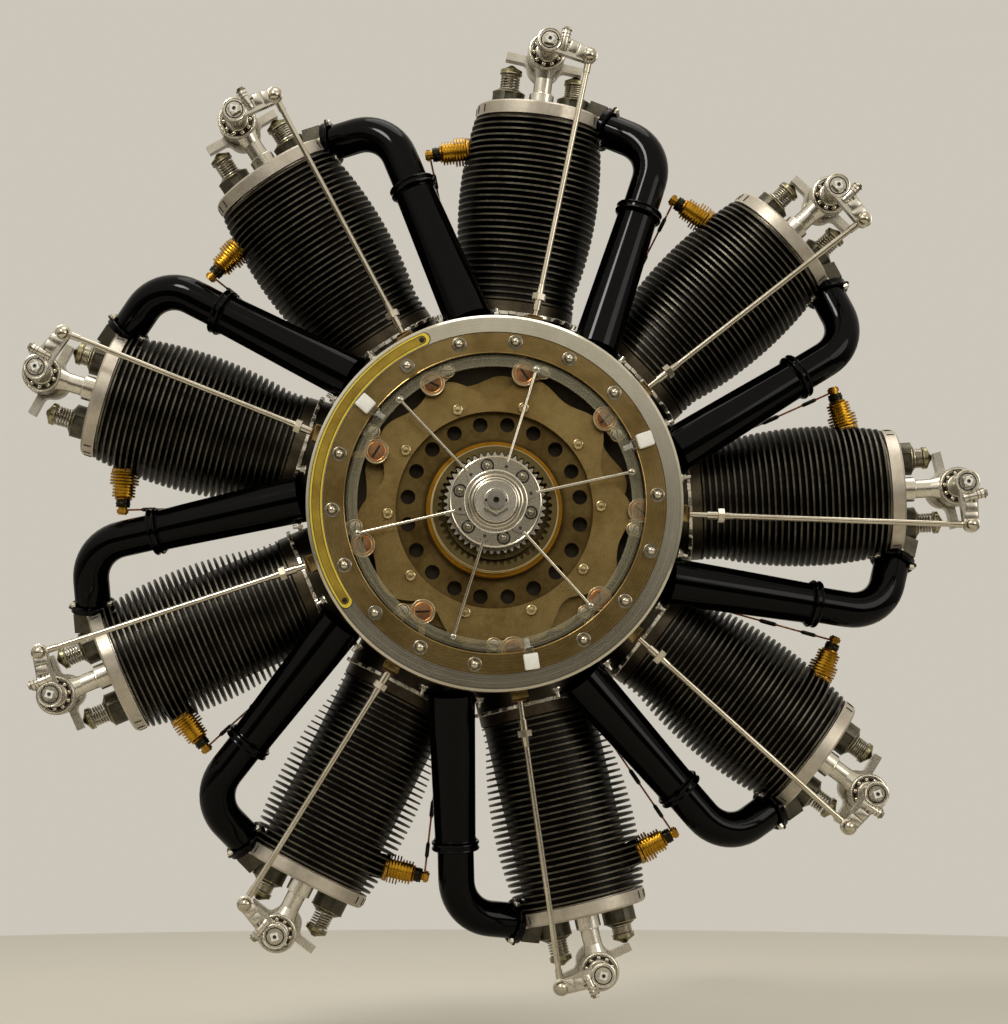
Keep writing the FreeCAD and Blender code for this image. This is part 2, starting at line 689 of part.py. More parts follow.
def cylinder():
    """Finned barrel with its head, valve cages, inlet port and plug boss."""
    skirt_r = BORE_R + SKIRT_WALL
    profile = [
        (BORE_R, SKIRT_BOTTOM),
        (skirt_r, SKIRT_BOTTOM),
        (skirt_r, SEAT_TOP),
        (SEAT_R, SEAT_TOP),
        (SEAT_R, FLANGE_TOP),
        (BAND_R, FLANGE_TOP),
        (BAND_R, BAND_TOP),
    ]
    for i in range(FINS):
        low = FIRST_FIN + i * FIN_PITCH
        out = fin_radius(low)
        profile += [(BARREL_R, low), (out, low), (out, low + FIN_T), (BARREL_R, low + FIN_T)]
    profile += [
        (BARREL_R, CAP_BOTTOM),
        (CAP_R, CAP_BOTTOM),
        (CAP_R, CAP_TOP - CAP_CHAMFER),
        (CAP_R - CAP_CHAMFER, CAP_TOP),
        (0, CAP_TOP),
        (0, HEAD_INSIDE),
        (BORE_R, HEAD_INSIDE),
    ]
    barrel = turned(profile)
    barrel.translate(Vector(0, CYLINDER_Y, 0))
    cages = [valve_cage(side) for side in (-1, 1)]
    seat, outward, _ = plug_line()
    pocket_r = PLUG_BIG_FIN_R + POCKET_GAP
    plug_pocket = rod(seat - outward * POCKET_DEPTH / 2, seat + outward * POCKET_DEPTH, pocket_r)
    seat, inward = port_seat()
    pocket_r = PIPE_FLANGE_R + POCKET_GAP
    flange_pocket = rod(seat - inward * POCKET_DEPTH, seat, pocket_r)
    wall = rod(Vector(0, CYLINDER_Y, FLANGE_TOP), Vector(0, CYLINDER_Y, CAP_TOP), BARREL_R)
    barrel = barrel.cut(plug_pocket).cut(flange_pocket)
    solid = fused(barrel, wall, *cages, inlet_port(), plug_boss())
    inside = rod(Vector(0, CYLINDER_Y, SKIRT_BOTTOM), Vector(0, CYLINDER_Y, HEAD_INSIDE), BORE_R)
    return solid.cut(inside)


def valve_cage(side):
    """Stepped boss of a valve, slotted for its spanner."""
    foot = Vector(side * VALVE_OUT, CYLINDER_Y, CAP_TOP)
    cage = turned([
        (0, -CAGE_ROOT),
        (CAGE_R, -CAGE_ROOT),
        (CAGE_R, CAGE_SHOULDER),
        (CAGE_TOP_R, CAGE_HEIGHT),
        (0, CAGE_HEIGHT),
    ])
    for i in range(CAGE_SLOTS):
        corner = Vector(CAGE_R - CAGE_SLOT_DEPTH, -CAGE_SLOT_WIDTH / 2, CAGE_SLOT_BOTTOM)
        slot = Part.makeBox(CAGE_R, CAGE_SLOT_WIDTH, CAGE_HEIGHT, corner)
        slot.rotate(ORIGIN, UP, 360.0 * i / CAGE_SLOTS)
        cage = cage.cut(slot)
    cage.translate(foot)
    return cage


def port_seat():
    """Face that the inlet pipe's flange is bolted to, and the way into the head."""
    _, _, corner, end = pipe_line()
    inward = (end - corner).normalize()
    return end + inward * PIPE_FLANGE_T, inward


def inlet_port():
    """Square block on the head's side."""
    seat, inward = port_seat()
    corner = Vector(-PORT_HEIGHT / 2, -PORT_WIDTH / 2, 0)
    block = Part.makeBox(PORT_HEIGHT, PORT_WIDTH, PORT_DEPTH, corner)
    block.Placement = FreeCAD.Placement(seat, FreeCAD.Rotation(UP, inward))
    return block


def plug_line():
    """Seat and outward direction of the spark plug."""
    seat = Vector(PLUG_SEAT[0], CYLINDER_Y, PLUG_SEAT[1])
    tip = Vector(PLUG_TIP[0], CYLINDER_Y, PLUG_TIP[1])
    return seat, (tip - seat).normalize(), (tip - seat).Length


def plug_boss():
    seat, outward, _ = plug_line()
    return rod(seat - outward * PLUG_BOSS_DEPTH, seat, PLUG_BOSS_R)


def piston(k):
    """Piston with its pin, standing where the crank puts it at rest."""
    pin = wrist_pin_place(k)
    inner = PISTON_R - PISTON_WALL
    crown = pin + PISTON_CROWN
    profile = [(inner, pin - PISTON_SKIRT), (PISTON_R, pin - PISTON_SKIRT)]
    groove = PISTON_R - RING_GROOVE
    for i in range(RINGS, 0, -1):
        low = crown - RING_PITCH * i
        top = low + RING_HEIGHT
        profile += [(PISTON_R, low), (groove, low), (groove, top), (PISTON_R, top)]
    profile += [(PISTON_R, crown), (0, crown), (0, crown - CROWN_T), (inner, crown - CROWN_T)]
    body = turned(profile)
    wrist = disc(WRIST_PIN_R, -inner - 2, inner + 2, 0, pin)
    solid = fused(body, wrist)
    solid.translate(Vector(0, CYLINDER_Y, 0))
    return solid


def wrist_pin_place(k):
    """Distance of the wrist pin from the crankshaft's axis; the crank points up."""
    turn = math.radians(cylinder_angle(k))
    side = THROW * math.sin(turn)
    return THROW * math.cos(turn) + math.sqrt(ROD_LENGTH**2 - side**2)


def valve(side, tilt):
    """Stem, spring and cap of one valve, pushed down as far as its rocker pad is."""
    bottom = CAP_TOP + CAGE_HEIGHT
    top = min(VALVE_TOP, pad_bottom(side, tilt) - STATIC_GAP)
    spring_top = top - SPRING_CAP_T
    pitch = (spring_top - bottom) / COILS
    core = (COIL_R + STEM_R) / 2
    profile = [(0, bottom)]
    for i in range(COILS):
        low = bottom + i * pitch
        profile += [(core, low), (COIL_R, low + 0.25 * pitch), (COIL_R, low + 0.75 * pitch)]
    profile += [
        (core, spring_top),
        (SPRING_CAP_R, spring_top),
        (SPRING_CAP_R, spring_top + SPRING_CAP_EDGE),
        (SPRING_CAP_TIP_R, top),
        (0, top),
    ]
    solid = turned(profile)
    solid.translate(Vector(side * VALVE_OUT, CYLINDER_Y, 0))
    return solid


def pad_bottom(side, tilt):
    """Lowest point of the T arm's underside above a valve's tip."""
    turn = math.radians(tilt)
    level = T_ARM_BOTTOM / math.cos(turn)
    return ROCKER_AT + level - side * VALVE_OUT * math.tan(turn) - SPRING_CAP_TIP_R * math.tan(abs(turn))


# Rockers, posts, pushrods and tappets

def rocker_post():
    """Pillar on the head with the bearing housing of the rocker."""
    back = POST_Y + HOUSING_WIDTH / 2
    foot = Vector(0, POST_Y, CAP_TOP)
    collar = rod(foot, foot + UP * COLLAR_HEIGHT, COLLAR_R)
    pillar = rod(foot, Vector(0, POST_Y, ROCKER_AT - HOUSING_R / 2), POST_R)
    neck_top = Vector(0, POST_Y, ROCKER_AT - HOUSING_R * 0.8)
    neck = rod(neck_top - UP * NECK_LENGTH, neck_top, POST_R, NECK_R)
    front = back - HOUSING_WIDTH
    housing = disc(HOUSING_R, front, back, 0, ROCKER_AT)
    race = ring(RACE_R, RACE_INNER_R, front - 1, front + RACE_DEPTH, 0, ROCKER_AT)
    solid = fused(collar, pillar, neck, housing).cut(race)
    bore_r = ROCKER_SHAFT_R + RUNNING_GAP
    return solid.cut(disc(bore_r, back - HOUSING_WIDTH - 1, back + 1, 0, ROCKER_AT))


def rocker(tilt):
    """Shaft with the T arm over the valves and the front lever with its ball."""
    centre = (0.0, ROCKER_AT)
    lever_front = LEVER_BACK - LEVER_WIDTH
    arm_back = CYLINDER_Y + T_ARM_WIDTH / 2
    arm_front = CYLINDER_Y - T_ARM_WIDTH / 2
    shaft = disc(ROCKER_SHAFT_R, lever_front, arm_back, 0, ROCKER_AT)
    lever_disc = disc(LEVER_DISC_R, lever_front, LEVER_BACK, 0, ROCKER_AT)
    ball_x, ball_z = ball_place(0)
    end = (ball_x, ball_z)
    arm = link(centre, LEVER_DISC_R * 0.8, end, ARM_END_R, BALL_Y - ARM_T / 2, BALL_Y + ARM_T / 2)
    button_r = math.hypot(BALL_R, ARM_T / 2)
    button = Part.makeSphere(button_r, Vector(ball_x, BALL_Y, ball_z))
    arm_front_face = BALL_Y - ARM_T / 2
    button = button.cut(disc(button_r + 1, arm_front_face, BALL_Y + button_r + 1, ball_x, ball_z))
    lug = Part.makeBox(
        CLAMP_HEIGHT, LEVER_WIDTH, CLAMP_WIDTH,
        Vector(CLAMP_AT - CLAMP_HEIGHT / 2, lever_front, ROCKER_AT),
    )
    square = Part.makeBox(
        SQUARE_SIDE, SQUARE_LENGTH, SQUARE_SIDE,
        Vector(-SQUARE_SIDE / 2, lever_front - SQUARE_LENGTH, ROCKER_AT - SQUARE_SIDE / 2),
    )
    solid = fused(shaft, arm, button, lug, square, lever_disc, t_arm(arm_front, arm_back))
    slot = Part.makeBox(
        LEVER_ARM / 2, LEVER_WIDTH + 2, CLAMP_SLOT,
        Vector(ROCKER_SHAFT_R - 1, lever_front - 1, ROCKER_AT + CLAMP_SLOT_Z),
    )
    solid = solid.cut(slot)
    solid.rotate(Vector(0, 0, ROCKER_AT), BACKWARD, tilt)
    return solid


def t_arm(front, back):
    """Flat wings over both valves on a round body, with hollow corners under the wings."""
    centre = (0.0, ROCKER_AT)
    heel = (0.0, ROCKER_AT - T_ARM_HEEL)
    body = link(centre, T_ARM_BOSS_R, heel, T_ARM_HEEL_R, front, back)
    corner = Vector(-T_ARM_REACH, front, ROCKER_AT + T_ARM_BOTTOM)
    solid = fused(body, Part.makeBox(2 * T_ARM_REACH, back - front, T_ARM_T, corner))
    edges = []
    for edge in solid.Edges:
        x = abs(edge.CenterOfMass.x)
        z = edge.CenterOfMass.z - ROCKER_AT
        along = edge.BoundBox.YLength > (back - front) * 0.9
        if along and abs(z - T_ARM_BOTTOM) < 0.1 and T_ARM_HEEL_R / 2 < x < T_ARM_REACH - 1:
            edges.append(edge)
    return solid.makeFillet(T_ARM_BEND_R, edges)


def ball_place(tilt):
    """X and Z of the lever's ball."""
    turn = math.radians(LEVER_DROP + tilt)
    return LEVER_ARM * math.cos(turn), ROCKER_AT - LEVER_ARM * math.sin(turn)


def rod_direction():
    ball_x, ball_z = ball_place(0)
    top = Vector(ball_x, BALL_Y, ball_z)
    return (top - Vector(ROD_FOOT_X, ROD_FOOT_Y, ROD_FOOT_Z)).normalize()


def rod_point(height):
    """Point of the pushrod's line at a radial height."""
    way = rod_direction()
    foot = Vector(ROD_FOOT_X, ROD_FOOT_Y, ROD_FOOT_Z)
    return foot + way * ((height - ROD_FOOT_Z) / way.z)


def rod_travel(tilt):
    """How far the pushrod goes in when the rocker tilts."""
    reach = LEVER_ARM * math.cos(math.radians(LEVER_DROP))
    return reach * math.radians(tilt)


def pushrod(tilt):
    way = rod_direction()
    ball_z = ball_place(0)[1]
    top = rod_point(ball_z) - way * (BALL_R + ROD_TOP_GAP)
    nut = rod_point(LOCK_NUT_AT)
    solid = fused(
        rod(rod_point(ROD_BOTTOM_Z), top, ROD_R),
        rod(top - way * ROD_END_LENGTH, top, ROD_END_R),
        rod(rod_point(SLEEVE_BOTTOM), nut, SLEEVE_R),
        rod(nut, nut + way * LOCK_NUT_T, LOCK_NUT_R),
    )
    solid.translate(way * -rod_travel(tilt))
    return solid


def tappet(tilt):
    """Lever with its roller, and the bar that lifts the pushrod."""
    pivot = polar(TAPPET_PIVOT_ANGLE, TAPPET_PIVOT_R)
    roller = polar(TAPPET_ROLLER_ANGLE, TAPPET_ROLLER_AT)
    front = TAPPET_BACK - LEVER_T
    bar = (roller[0], FOLLOWER_BAR_AT)
    lever = link(pivot, TAPPET_EYE_R, roller, TAPPET_ROLLER_R * 0.6, front, TAPPET_BACK)
    horn = link(roller, FOLLOWER_BAR_R, bar, FOLLOWER_BAR_R, front, TAPPET_BACK)
    wheel = disc(TAPPET_ROLLER_R, TAPPET_BACK - ROLLER_T, TAPPET_BACK, *roller)
    follower = disc(FOLLOWER_BAR_R, TAPPET_BACK, TAPPET_BACK + FOLLOWER_BAR_LENGTH, *bar)
    solid = fused(lever, horn, wheel, follower)
    solid = solid.cut(disc(TAPPET_PIN_R + RUNNING_GAP, front - 1, TAPPET_BACK + 1, *pivot))
    arm = math.dist(pivot, roller)
    swing = -math.degrees(rod_travel(tilt) / arm)
    solid.rotate(Vector(pivot[0], 0, pivot[1]), BACKWARD, swing)
    return solid


# Cam gear

def gear_outline(teeth, root_r, tip_r, tip_share, root_share):
    """Closed outline of straight-flanked teeth, with the shares of the pitch at tip and root."""
    points = []
    for i in range(teeth):
        for share, radius in (
            (-root_share / 2, root_r), (-tip_share / 2, tip_r),
            (tip_share / 2, tip_r), (root_share / 2, root_r),
        ):
            x, z = polar(360.0 * (i + share) / teeth, radius)
            points.append(Vector(x, 0, z))
    return Part.makePolygon(points + [points[0]])


def cam_drum():
    """Bearing hub with the pierced web and the cam seat ring, and the internal gear on it."""
    web_back = REAR_CAM_FRONT
    web_front = web_back - CAM_WEB_T
    root_r = RING_PITCH_R + TOOTH_IN
    hub_back = ECCENTRIC_BACK - DRUM_HUB_STEP
    hub_front = ECCENTRIC_FRONT + DRUM_HUB_STEP
    drum = turned([
        (ECCENTRIC_R + RUNNING_GAP, hub_back),
        (DRUM_HUB_R, hub_back),
        (DRUM_HUB_R, web_back),
        (CAM_RING_R, web_back),
        (CAM_RING_R, CAM_RING_FRONT),
        (CAM_INNER_R, CAM_RING_FRONT),
        (CAM_INNER_R, web_front),
        (DRUM_HUB_R, web_front),
        (DRUM_HUB_R, hub_front),
        (ECCENTRIC_R + RUNNING_GAP, hub_front),
    ], BACKWARD)
    rim = turned([
        (GEAR_STEP_R, web_front),
        (GEAR_STEP_R, GEAR_BACK),
        (GEAR_RIM_R, GEAR_BACK),
        (GEAR_RIM_R, HUB_BACK),
        (root_r, HUB_BACK),
        (root_r, web_front),
    ], BACKWARD)
    tip_r = RING_PITCH_R - TOOTH_OUT
    gaps = gear_outline(RING_TEETH, tip_r, root_r + TOOTH_ROOT, 0.28, 0.78)
    cutter = Part.Face(gaps).extrude(Vector(0, GEAR_WIDTH, 0))
    cutter.translate(Vector(0, HUB_BACK, 0))
    teeth = ring(root_r + TOOTH_ROOT, tip_r, HUB_BACK, GEAR_BACK).cut(cutter)
    gear = fused(rim, teeth)
    for i in range(CAM_HOLES):
        x, z = polar(CAM_HOLE_ANGLE + 360.0 * i / CAM_HOLES, CAM_HOLE_CIRCLE_R)
        drum = drum.cut(disc(CAM_HOLE_R, web_front - 1, web_back + 1, x, z))
    drum.translate(Vector(0, 0, CAM_CENTRE_Z))
    gear.translate(Vector(0, 0, CAM_CENTRE_Z))
    return drum, gear


def cam_radius(angle):
    """Radius of the cam at an angle from a valley: a wave of five lobes with a dip."""
    turn = math.radians(CAM_LOBES * CAM_APEX_ANGLE)
    first = (CAM_VALLEY_R - CAM_DIP_R) / 2
    level = (CAM_VALLEY_R + CAM_DIP_R) / 2
    second = (CAM_APEX_R - level - first * math.cos(turn)) / (math.cos(2 * turn) - 1)
    wave = math.radians(CAM_LOBES * angle)
    return level - second + first * math.cos(wave) + second * math.cos(2 * wave)


def cam(front, turn):
    points = []
    steps = CAM_LOBES * 12
    for i in range(steps):
        angle = 360.0 * i / steps
        x, z = polar(angle + turn, cam_radius(angle))
        points.append(Vector(x, front, z))
    curve = Part.BSplineCurve()
    curve.interpolate(points, PeriodicFlag=True)
    blank = Part.Face(Part.Wire(curve.toShape())).extrude(Vector(0, CAM_T, 0))
    solid = blank.cut(disc(CAM_INNER_R, front - 1, front + CAM_T + 1))
    solid.translate(Vector(0, 0, CAM_CENTRE_Z))
    return solid


def front_cam():
    """The front cam with its bolt heads."""
    heads = []
    for i in range(CAM_BOLTS):
        x, z = polar(CAM_BOLT_ANGLE + 360.0 * i / CAM_BOLTS, CAM_BOLT_CIRCLE_R)
        front = FRONT_CAM_FRONT - CAM_BOLT_HEAD
        heads.append(disc(CAM_BOLT_R, front, FRONT_CAM_FRONT, x, z + CAM_CENTRE_Z))
    return fused(cam(FRONT_CAM_FRONT, CAM_ANGLE), *heads)


def drive_pinion():
    tip_r = PINION_PITCH_R + TOOTH_OUT - MESH_EASE
    outline = gear_outline(PINION_TEETH, PINION_PITCH_R - TOOTH_IN, tip_r, 0.16, 0.72)
    solid = Part.Face(outline).extrude(Vector(0, GEAR_WIDTH, 0))
    solid.translate(Vector(0, HUB_BACK, 0))
    return solid.cut(disc(FRONT_SHAFT_R + RUNNING_GAP, HUB_BACK - 1, GEAR_BACK + 1))


def hub_spider():
    """Hub flange on the nose of the shaft with six thin rods to the cover's lip."""
    neck_front = HUB_BACK - HUB_NECK_LENGTH
    neck = disc(HUB_NECK_R, neck_front, HUB_BACK)
    flange = disc(HUB_R, HUB_FRONT, neck_front)
    ear_front = HUB_FRONT - EAR_T
    spokes = [disc(EAR_RING_R, ear_front, HUB_FRONT)]
    for i in range(SPOKES):
        angle = SPOKE_ANGLE + 360.0 * i / SPOKES
        x, z = polar(angle, SPOKE_HUB_R)
        inner = Vector(x, HUB_FRONT - EAR_T / 2, z)
        ear = polar(angle, EAR_AT)
        spokes.append(link(CRANK_CENTRE, EAR_RING_R / 2, ear, EAR_R, ear_front, HUB_FRONT))
        x, z = polar(angle, SPOKE_LIP_R)
        outer = Vector(x, LIP_FRONT - EYE_T / 2, z)
        spokes.append(rod(inner, outer, SPOKE_R))
        spokes.append(disc(EYE_R, LIP_FRONT - EYE_T, LIP_FRONT, x, z))
    solid = fused(neck, flange, *spokes)
    return solid.cut(disc(FRONT_SHAFT_R + RUNNING_GAP, ear_front - 1, HUB_BACK + 1))


def thrust_block():
    """Hub of the connecting rods on the crank pin."""
    front = CYLINDER_Y - THRUST_BLOCK_WIDTH / 2
    return ring(THRUST_BLOCK_R, PIN_R + RUNNING_GAP, front, front + THRUST_BLOCK_WIDTH, 0, THROW)


# Inlet pipes

def pipe_shell(path, radius):
    start = path.Edges[0].valueAt(path.Edges[0].FirstParameter)
    way = path.Edges[0].tangentAt(path.Edges[0].FirstParameter)
    section = Part.Wire(Part.makeCircle(radius, start, way))
    return path.makePipeShell([section], True, False)


def elbow_path(start, corner, end):
    """Line, arc and line, with the bend's radius at the corner."""
    back = (start - corner).normalize()
    ahead = (end - corner).normalize()
    half = back.getAngle(ahead) / 2
    run = ELBOW_BEND / math.tan(half)
    to_middle = (back + ahead).normalize()
    middle = corner + to_middle * (ELBOW_BEND / math.sin(half) - ELBOW_BEND)
    first = corner + back * run
    last = corner + ahead * run
    return Part.Wire([
        Part.LineSegment(start, first).toShape(),
        Part.Arc(first, middle, last).toShape(),
        Part.LineSegment(last, end).toShape(),
    ])


def pipe_line():
    """Foot, joint, bend corner and end of the inlet pipe's centre line."""
    x, z = polar(PIPE_FOOT_ANGLE, PIPE_FOOT_AT)
    foot, joint = Vector(x, PIPE_FOOT_Y, z), Vector(*PIPE_JOINT)
    up = (joint - foot).normalize()
    return foot, joint, joint + up * PIPE_CORNER_RUN, Vector(*PIPE_END)


def inlet_pipe():
    """Tapered lower pipe on its saddle, and the elbow to the head."""
    foot, joint, corner, end = pipe_line()
    up = (joint - foot).normalize()
    lower = fused(rod(foot, joint, PIPE_FOOT_R, PIPE_JOINT_R), saddle(foot))
    inner = rod(foot, joint + up, PIPE_FOOT_R - PIPE_WALL, PIPE_JOINT_R - PIPE_WALL)
    lower = lower.cut(inner).cut(disc(DRUM_R + STATIC_GAP, CASE_SPLIT, DRUM_BACK))
    path = elbow_path(joint, corner, end)
    inward = (end - corner).normalize()
    elbow = fused(
        pipe_shell(path, ELBOW_R),
        rod(joint, joint + up * PIPE_COLLAR_T, PIPE_COLLAR_R),
        rod(end, end + inward * PIPE_FLANGE_T, PIPE_FLANGE_R),
    )
    hollow = pipe_shell(path, ELBOW_R - PIPE_WALL)
    return [lower, elbow.cut(hollow)]


def saddle(foot):
    """Oval flange that lies on the round case under the pipe."""
    angle = math.degrees(math.atan2(foot.x, foot.z))
    top = DRUM_R + SADDLE_T
    half = SADDLE_SPAN / 2
    oval = link((-half, SADDLE_Y), SADDLE_R - 0.001, (half, SADDLE_Y), SADDLE_R, 0, 4 * SADDLE_T)
    oval.rotate(ORIGIN, Vector(1, 0, 0), 90)
    oval.translate(Vector(0, 2 * SADDLE_Y, top + SADDLE_T))
    oval = turned_about_y(oval, angle)
    depth = SADDLE_R + 1
    shell = ring(top, DRUM_R + STATIC_GAP, SADDLE_Y - depth, SADDLE_Y + depth)
    return shell.common(oval)


# Ignition

def spark_plug():
    """Finned plug body, insulator and terminal."""
    seat, outward, length = plug_line()
    profile = [(0, 0), (PLUG_SMALL_FIN_R, 0), (PLUG_SMALL_FIN_R, PLUG_COLLAR_T)]
    place = PLUG_FIRST_FIN
    for i in range(PLUG_BIG_FINS + PLUG_SMALL_FINS):
        out = PLUG_BIG_FIN_R if i < PLUG_BIG_FINS else PLUG_SMALL_FIN_R
        top = place + PLUG_FIN_T
        profile += [(PLUG_BODY_R, place), (out, place), (out, top), (PLUG_BODY_R, top)]
        place += PLUG_FIN_PITCH
    profile += [
        (INSULATOR_R, place),
        (INSULATOR_R, place + INSULATOR_LENGTH),
        (TERMINAL_R, place + INSULATOR_LENGTH),
        (TERMINAL_R, length),
        (0, length),
    ]
    solid = turned(profile)
    solid.Placement = FreeCAD.Placement(seat, FreeCAD.Rotation(UP, outward))
    return solid


def distributor_ring():
    """Insulating ring behind the drum with one contact post for each wire."""
    back = DRUM_BACK + DISTRIBUTOR_T
    solid = ring(DISTRIBUTOR_R, DISTRIBUTOR_INNER_R, DRUM_BACK, back)
    post = disc(CONTACT_R, back - 1, back + CONTACT_LENGTH, *CONTACT)
    return fused(solid, *round_the_engine(post))


def ignition_wire():
    """Bare wire, pulled straight from the plug's terminal to its contact."""
    seat, outward, length = plug_line()
    terminal = seat + outward * (length - TERMINAL_R)
    post_y = DRUM_BACK + DISTRIBUTOR_T + CONTACT_LENGTH * 0.75
    contact = Vector(CONTACT[0], post_y, CONTACT[1])
    way = (contact - terminal).normalize()
    start = terminal + way * (TERMINAL_R + STATIC_GAP)
    return rod(start, contact - way * (CONTACT_R + WIRE_R), WIRE_R)


def build():
    os.makedirs("parts", exist_ok=True)
    save("crankshaft", crankshaft())
    save("nose_nut", *nose_nut())
    save("mount_plates", *mount_plates())
    save("magneto", magneto())
    save("carburettor", carburettor())
    save("thrust_block", thrust_block())
    save("crankcase_drum", crankcase_drum())
    save("crankcase_front", crankcase_front())
    save("cam_case_ring", cam_case_ring())
    save("clear_cover", clear_cover())
    save("cover_clamp", cover_clamp())
    save("fasteners", *fasteners())
    save("hub_spider", hub_spider())
    save("drive_pinion", drive_pinion())
    save("cam_drum", *cam_drum())
    save("front_cam", front_cam())
    save("rear_cam", cam(REAR_CAM_FRONT, REAR_CAM_ANGLE))
    save("cylinders", *round_the_engine(cylinder()))
    save("rocker_posts", *round_the_engine(rocker_post()))
    pipes = [round_the_engine(piece) for piece in inlet_pipe()]
    save("inlet_pipes", *pipes[0], *pipes[1])
    save("spark_plugs", *round_the_engine(spark_plug()))
    save("distributor_ring", distributor_ring())
    save("ignition_wires", *round_the_engine(ignition_wire()))
    valves = []
    for k in range(CYLINDERS):
        tilt = REST_TILTS[k]
        angle = cylinder_angle(k)
        number = str(k + 1)
        save("rocker_" + number, turned_about_y(rocker(tilt), angle))
        save("pushrod_" + number, turned_about_y(pushrod(tilt), angle))
        save("tappet_" + number, turned_about_y(tappet(tilt), angle))
        save("piston_" + number, turned_about_y(piston(k), angle))
        for side in (-1, 1):
            valves.append(turned_about_y(valve(side, tilt), angle))
    save("valve_springs", *valves)


build()
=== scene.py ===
import json
import math

import bpy
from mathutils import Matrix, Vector


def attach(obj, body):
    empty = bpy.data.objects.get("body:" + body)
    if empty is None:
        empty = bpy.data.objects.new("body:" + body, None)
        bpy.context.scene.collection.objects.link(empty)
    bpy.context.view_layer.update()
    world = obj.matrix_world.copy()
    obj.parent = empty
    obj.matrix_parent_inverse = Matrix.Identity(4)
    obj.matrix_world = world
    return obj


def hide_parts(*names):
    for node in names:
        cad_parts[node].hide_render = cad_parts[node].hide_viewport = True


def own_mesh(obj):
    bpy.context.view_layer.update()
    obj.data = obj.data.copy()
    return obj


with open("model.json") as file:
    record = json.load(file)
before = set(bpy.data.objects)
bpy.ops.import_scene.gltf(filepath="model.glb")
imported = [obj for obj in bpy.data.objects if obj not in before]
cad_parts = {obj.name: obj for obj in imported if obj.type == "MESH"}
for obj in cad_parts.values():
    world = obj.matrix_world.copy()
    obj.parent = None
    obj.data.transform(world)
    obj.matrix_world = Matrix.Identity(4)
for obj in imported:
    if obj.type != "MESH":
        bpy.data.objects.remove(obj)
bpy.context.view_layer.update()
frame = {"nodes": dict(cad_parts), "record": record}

# The engine's own sizes in millimetres, as the solids have them
CYLINDERS = 9
FIRST_ANGLE = 6.85
CYLINDER_Y = -220.0
RIM_FRONT = -358.0
CASE_SPLIT = -332.0
CLAMP_FRONT = -356.0
STUD_CIRCLE_R = 162.0
STUD_ANGLE = 7.2
NYLON_STUDS = (3, 8, 15)
LOW_STUDS = (5, 11, 16)
CAM_BOLT_CIRCLE_R = 107.0
CAM_BOLT_FRONT = -338.0
CAP_TOP = 424.0
VALVE_OUT = 34.0
CAGE_TOP = 444.0
VALVE_TOP = 471.0
ROCKER_AT = 482.6
POST_Y = -245.0
HOUSING_FRONT = -257.0
LEVER_FRONT = -309.0
LEVER_ARM = 43.5
LEVER_DROP = 9.4
BALL_Y = -303.0
REST_TILTS = (5.4, -3.3, -11.1, -5.2, -11.9, 11.1, -0.9, 11.9, 3.0)
HUB_FRONT = -368.0
EAR_FRONT = -371.0
HUB_BOLT_CIRCLE_R = 36.7
HUB_BOLT_ANGLE = 47.2
TAPPET_PIVOT = (13.6, 141.0)
CAM_CENTRE_Z = -5.5
PLUG_SEAT = Vector((-67.0, CYLINDER_Y, 375.0))
PLUG_TIP = Vector((-113.0, CYLINDER_Y, 364.0))
CONTACT = Vector((-30.0, -134.0, 150.0))
PUSHROD_FOOT = Vector((18.0, -311.0, 190.0))
CLAMP_BOLT_X = 15.4
CLAMP_BOLT_Y = -308.0
ROLLER_AT = (5.5, 137.5)
ROLLER_FRONT = -346.4
BAND_START = 236.0
BAND_SWEEP = 100.5
PIPE_FOOT = Vector((84.0, -292.0, 174.7))
PIPE_JOINT = Vector((113.0, -262.0, 320.0))
PIPE_CORNER_RUN = 77.6
PIPE_END = Vector((74.0, -224.0, 414.0))


# Colours and finishes

def linear(red, green, blue):
    """A colour given as it looks on a screen, 0 to 255, in the shader's own scale."""
    return tuple((value / 255) ** 2.2 for value in (red, green, blue)) + (1.0,)


def add_node(tree, kind, **settings):
    node = tree.nodes.new(kind)
    for name, value in settings.items():
        setattr(node, name, value)
    return node


def arithmetic(tree, operation, first, second=None):
    """One Math node; a value is a number or another node's output."""
    node = add_node(tree, "ShaderNodeMath", operation=operation)
    for socket, value in zip(node.inputs, (first, second)):
        if value is None:
            continue
        if isinstance(value, (int, float)):
            socket.default_value = value
        else:
            tree.links.new(value, socket)
    return node.outputs[0]


def blended(tree, share, first, second):
    """Mix two colours, each one a colour or another node's output."""
    node = add_node(tree, "ShaderNodeMix", data_type="RGBA")
    if isinstance(share, (int, float)):
        node.inputs["Factor"].default_value = share
    else:
        tree.links.new(share, node.inputs["Factor"])
    for socket, value in ((node.inputs[6], first), (node.inputs[7], second)):
        if isinstance(value, tuple):
            socket.default_value = value
        else:
            tree.links.new(value, socket)
    return node.outputs[2]


def spread(tree, value, low, high, to_low=0.0, to_high=1.0):
    """Map a value's range to another one, held at its ends."""
    node = add_node(tree, "ShaderNodeMapRange", clamp=True)
    tree.links.new(value, node.inputs["Value"])
    node.inputs["From Min"].default_value = low
    node.inputs["From Max"].default_value = high
    node.inputs["To Min"].default_value = to_low
    node.inputs["To Max"].default_value = to_high
    return node.outputs["Result"]


def noise(tree, place, scale, detail=4.0, rough=0.55):
    node = add_node(tree, "ShaderNodeTexNoise")
    tree.links.new(place, node.inputs["Vector"])
    if isinstance(scale, (int, float)):
        node.inputs["Scale"].default_value = scale
    else:
        tree.links.new(scale, node.inputs["Scale"])
    node.inputs["Detail"].default_value = detail
    node.inputs["Roughness"].default_value = rough
    return node.outputs["Fac"]


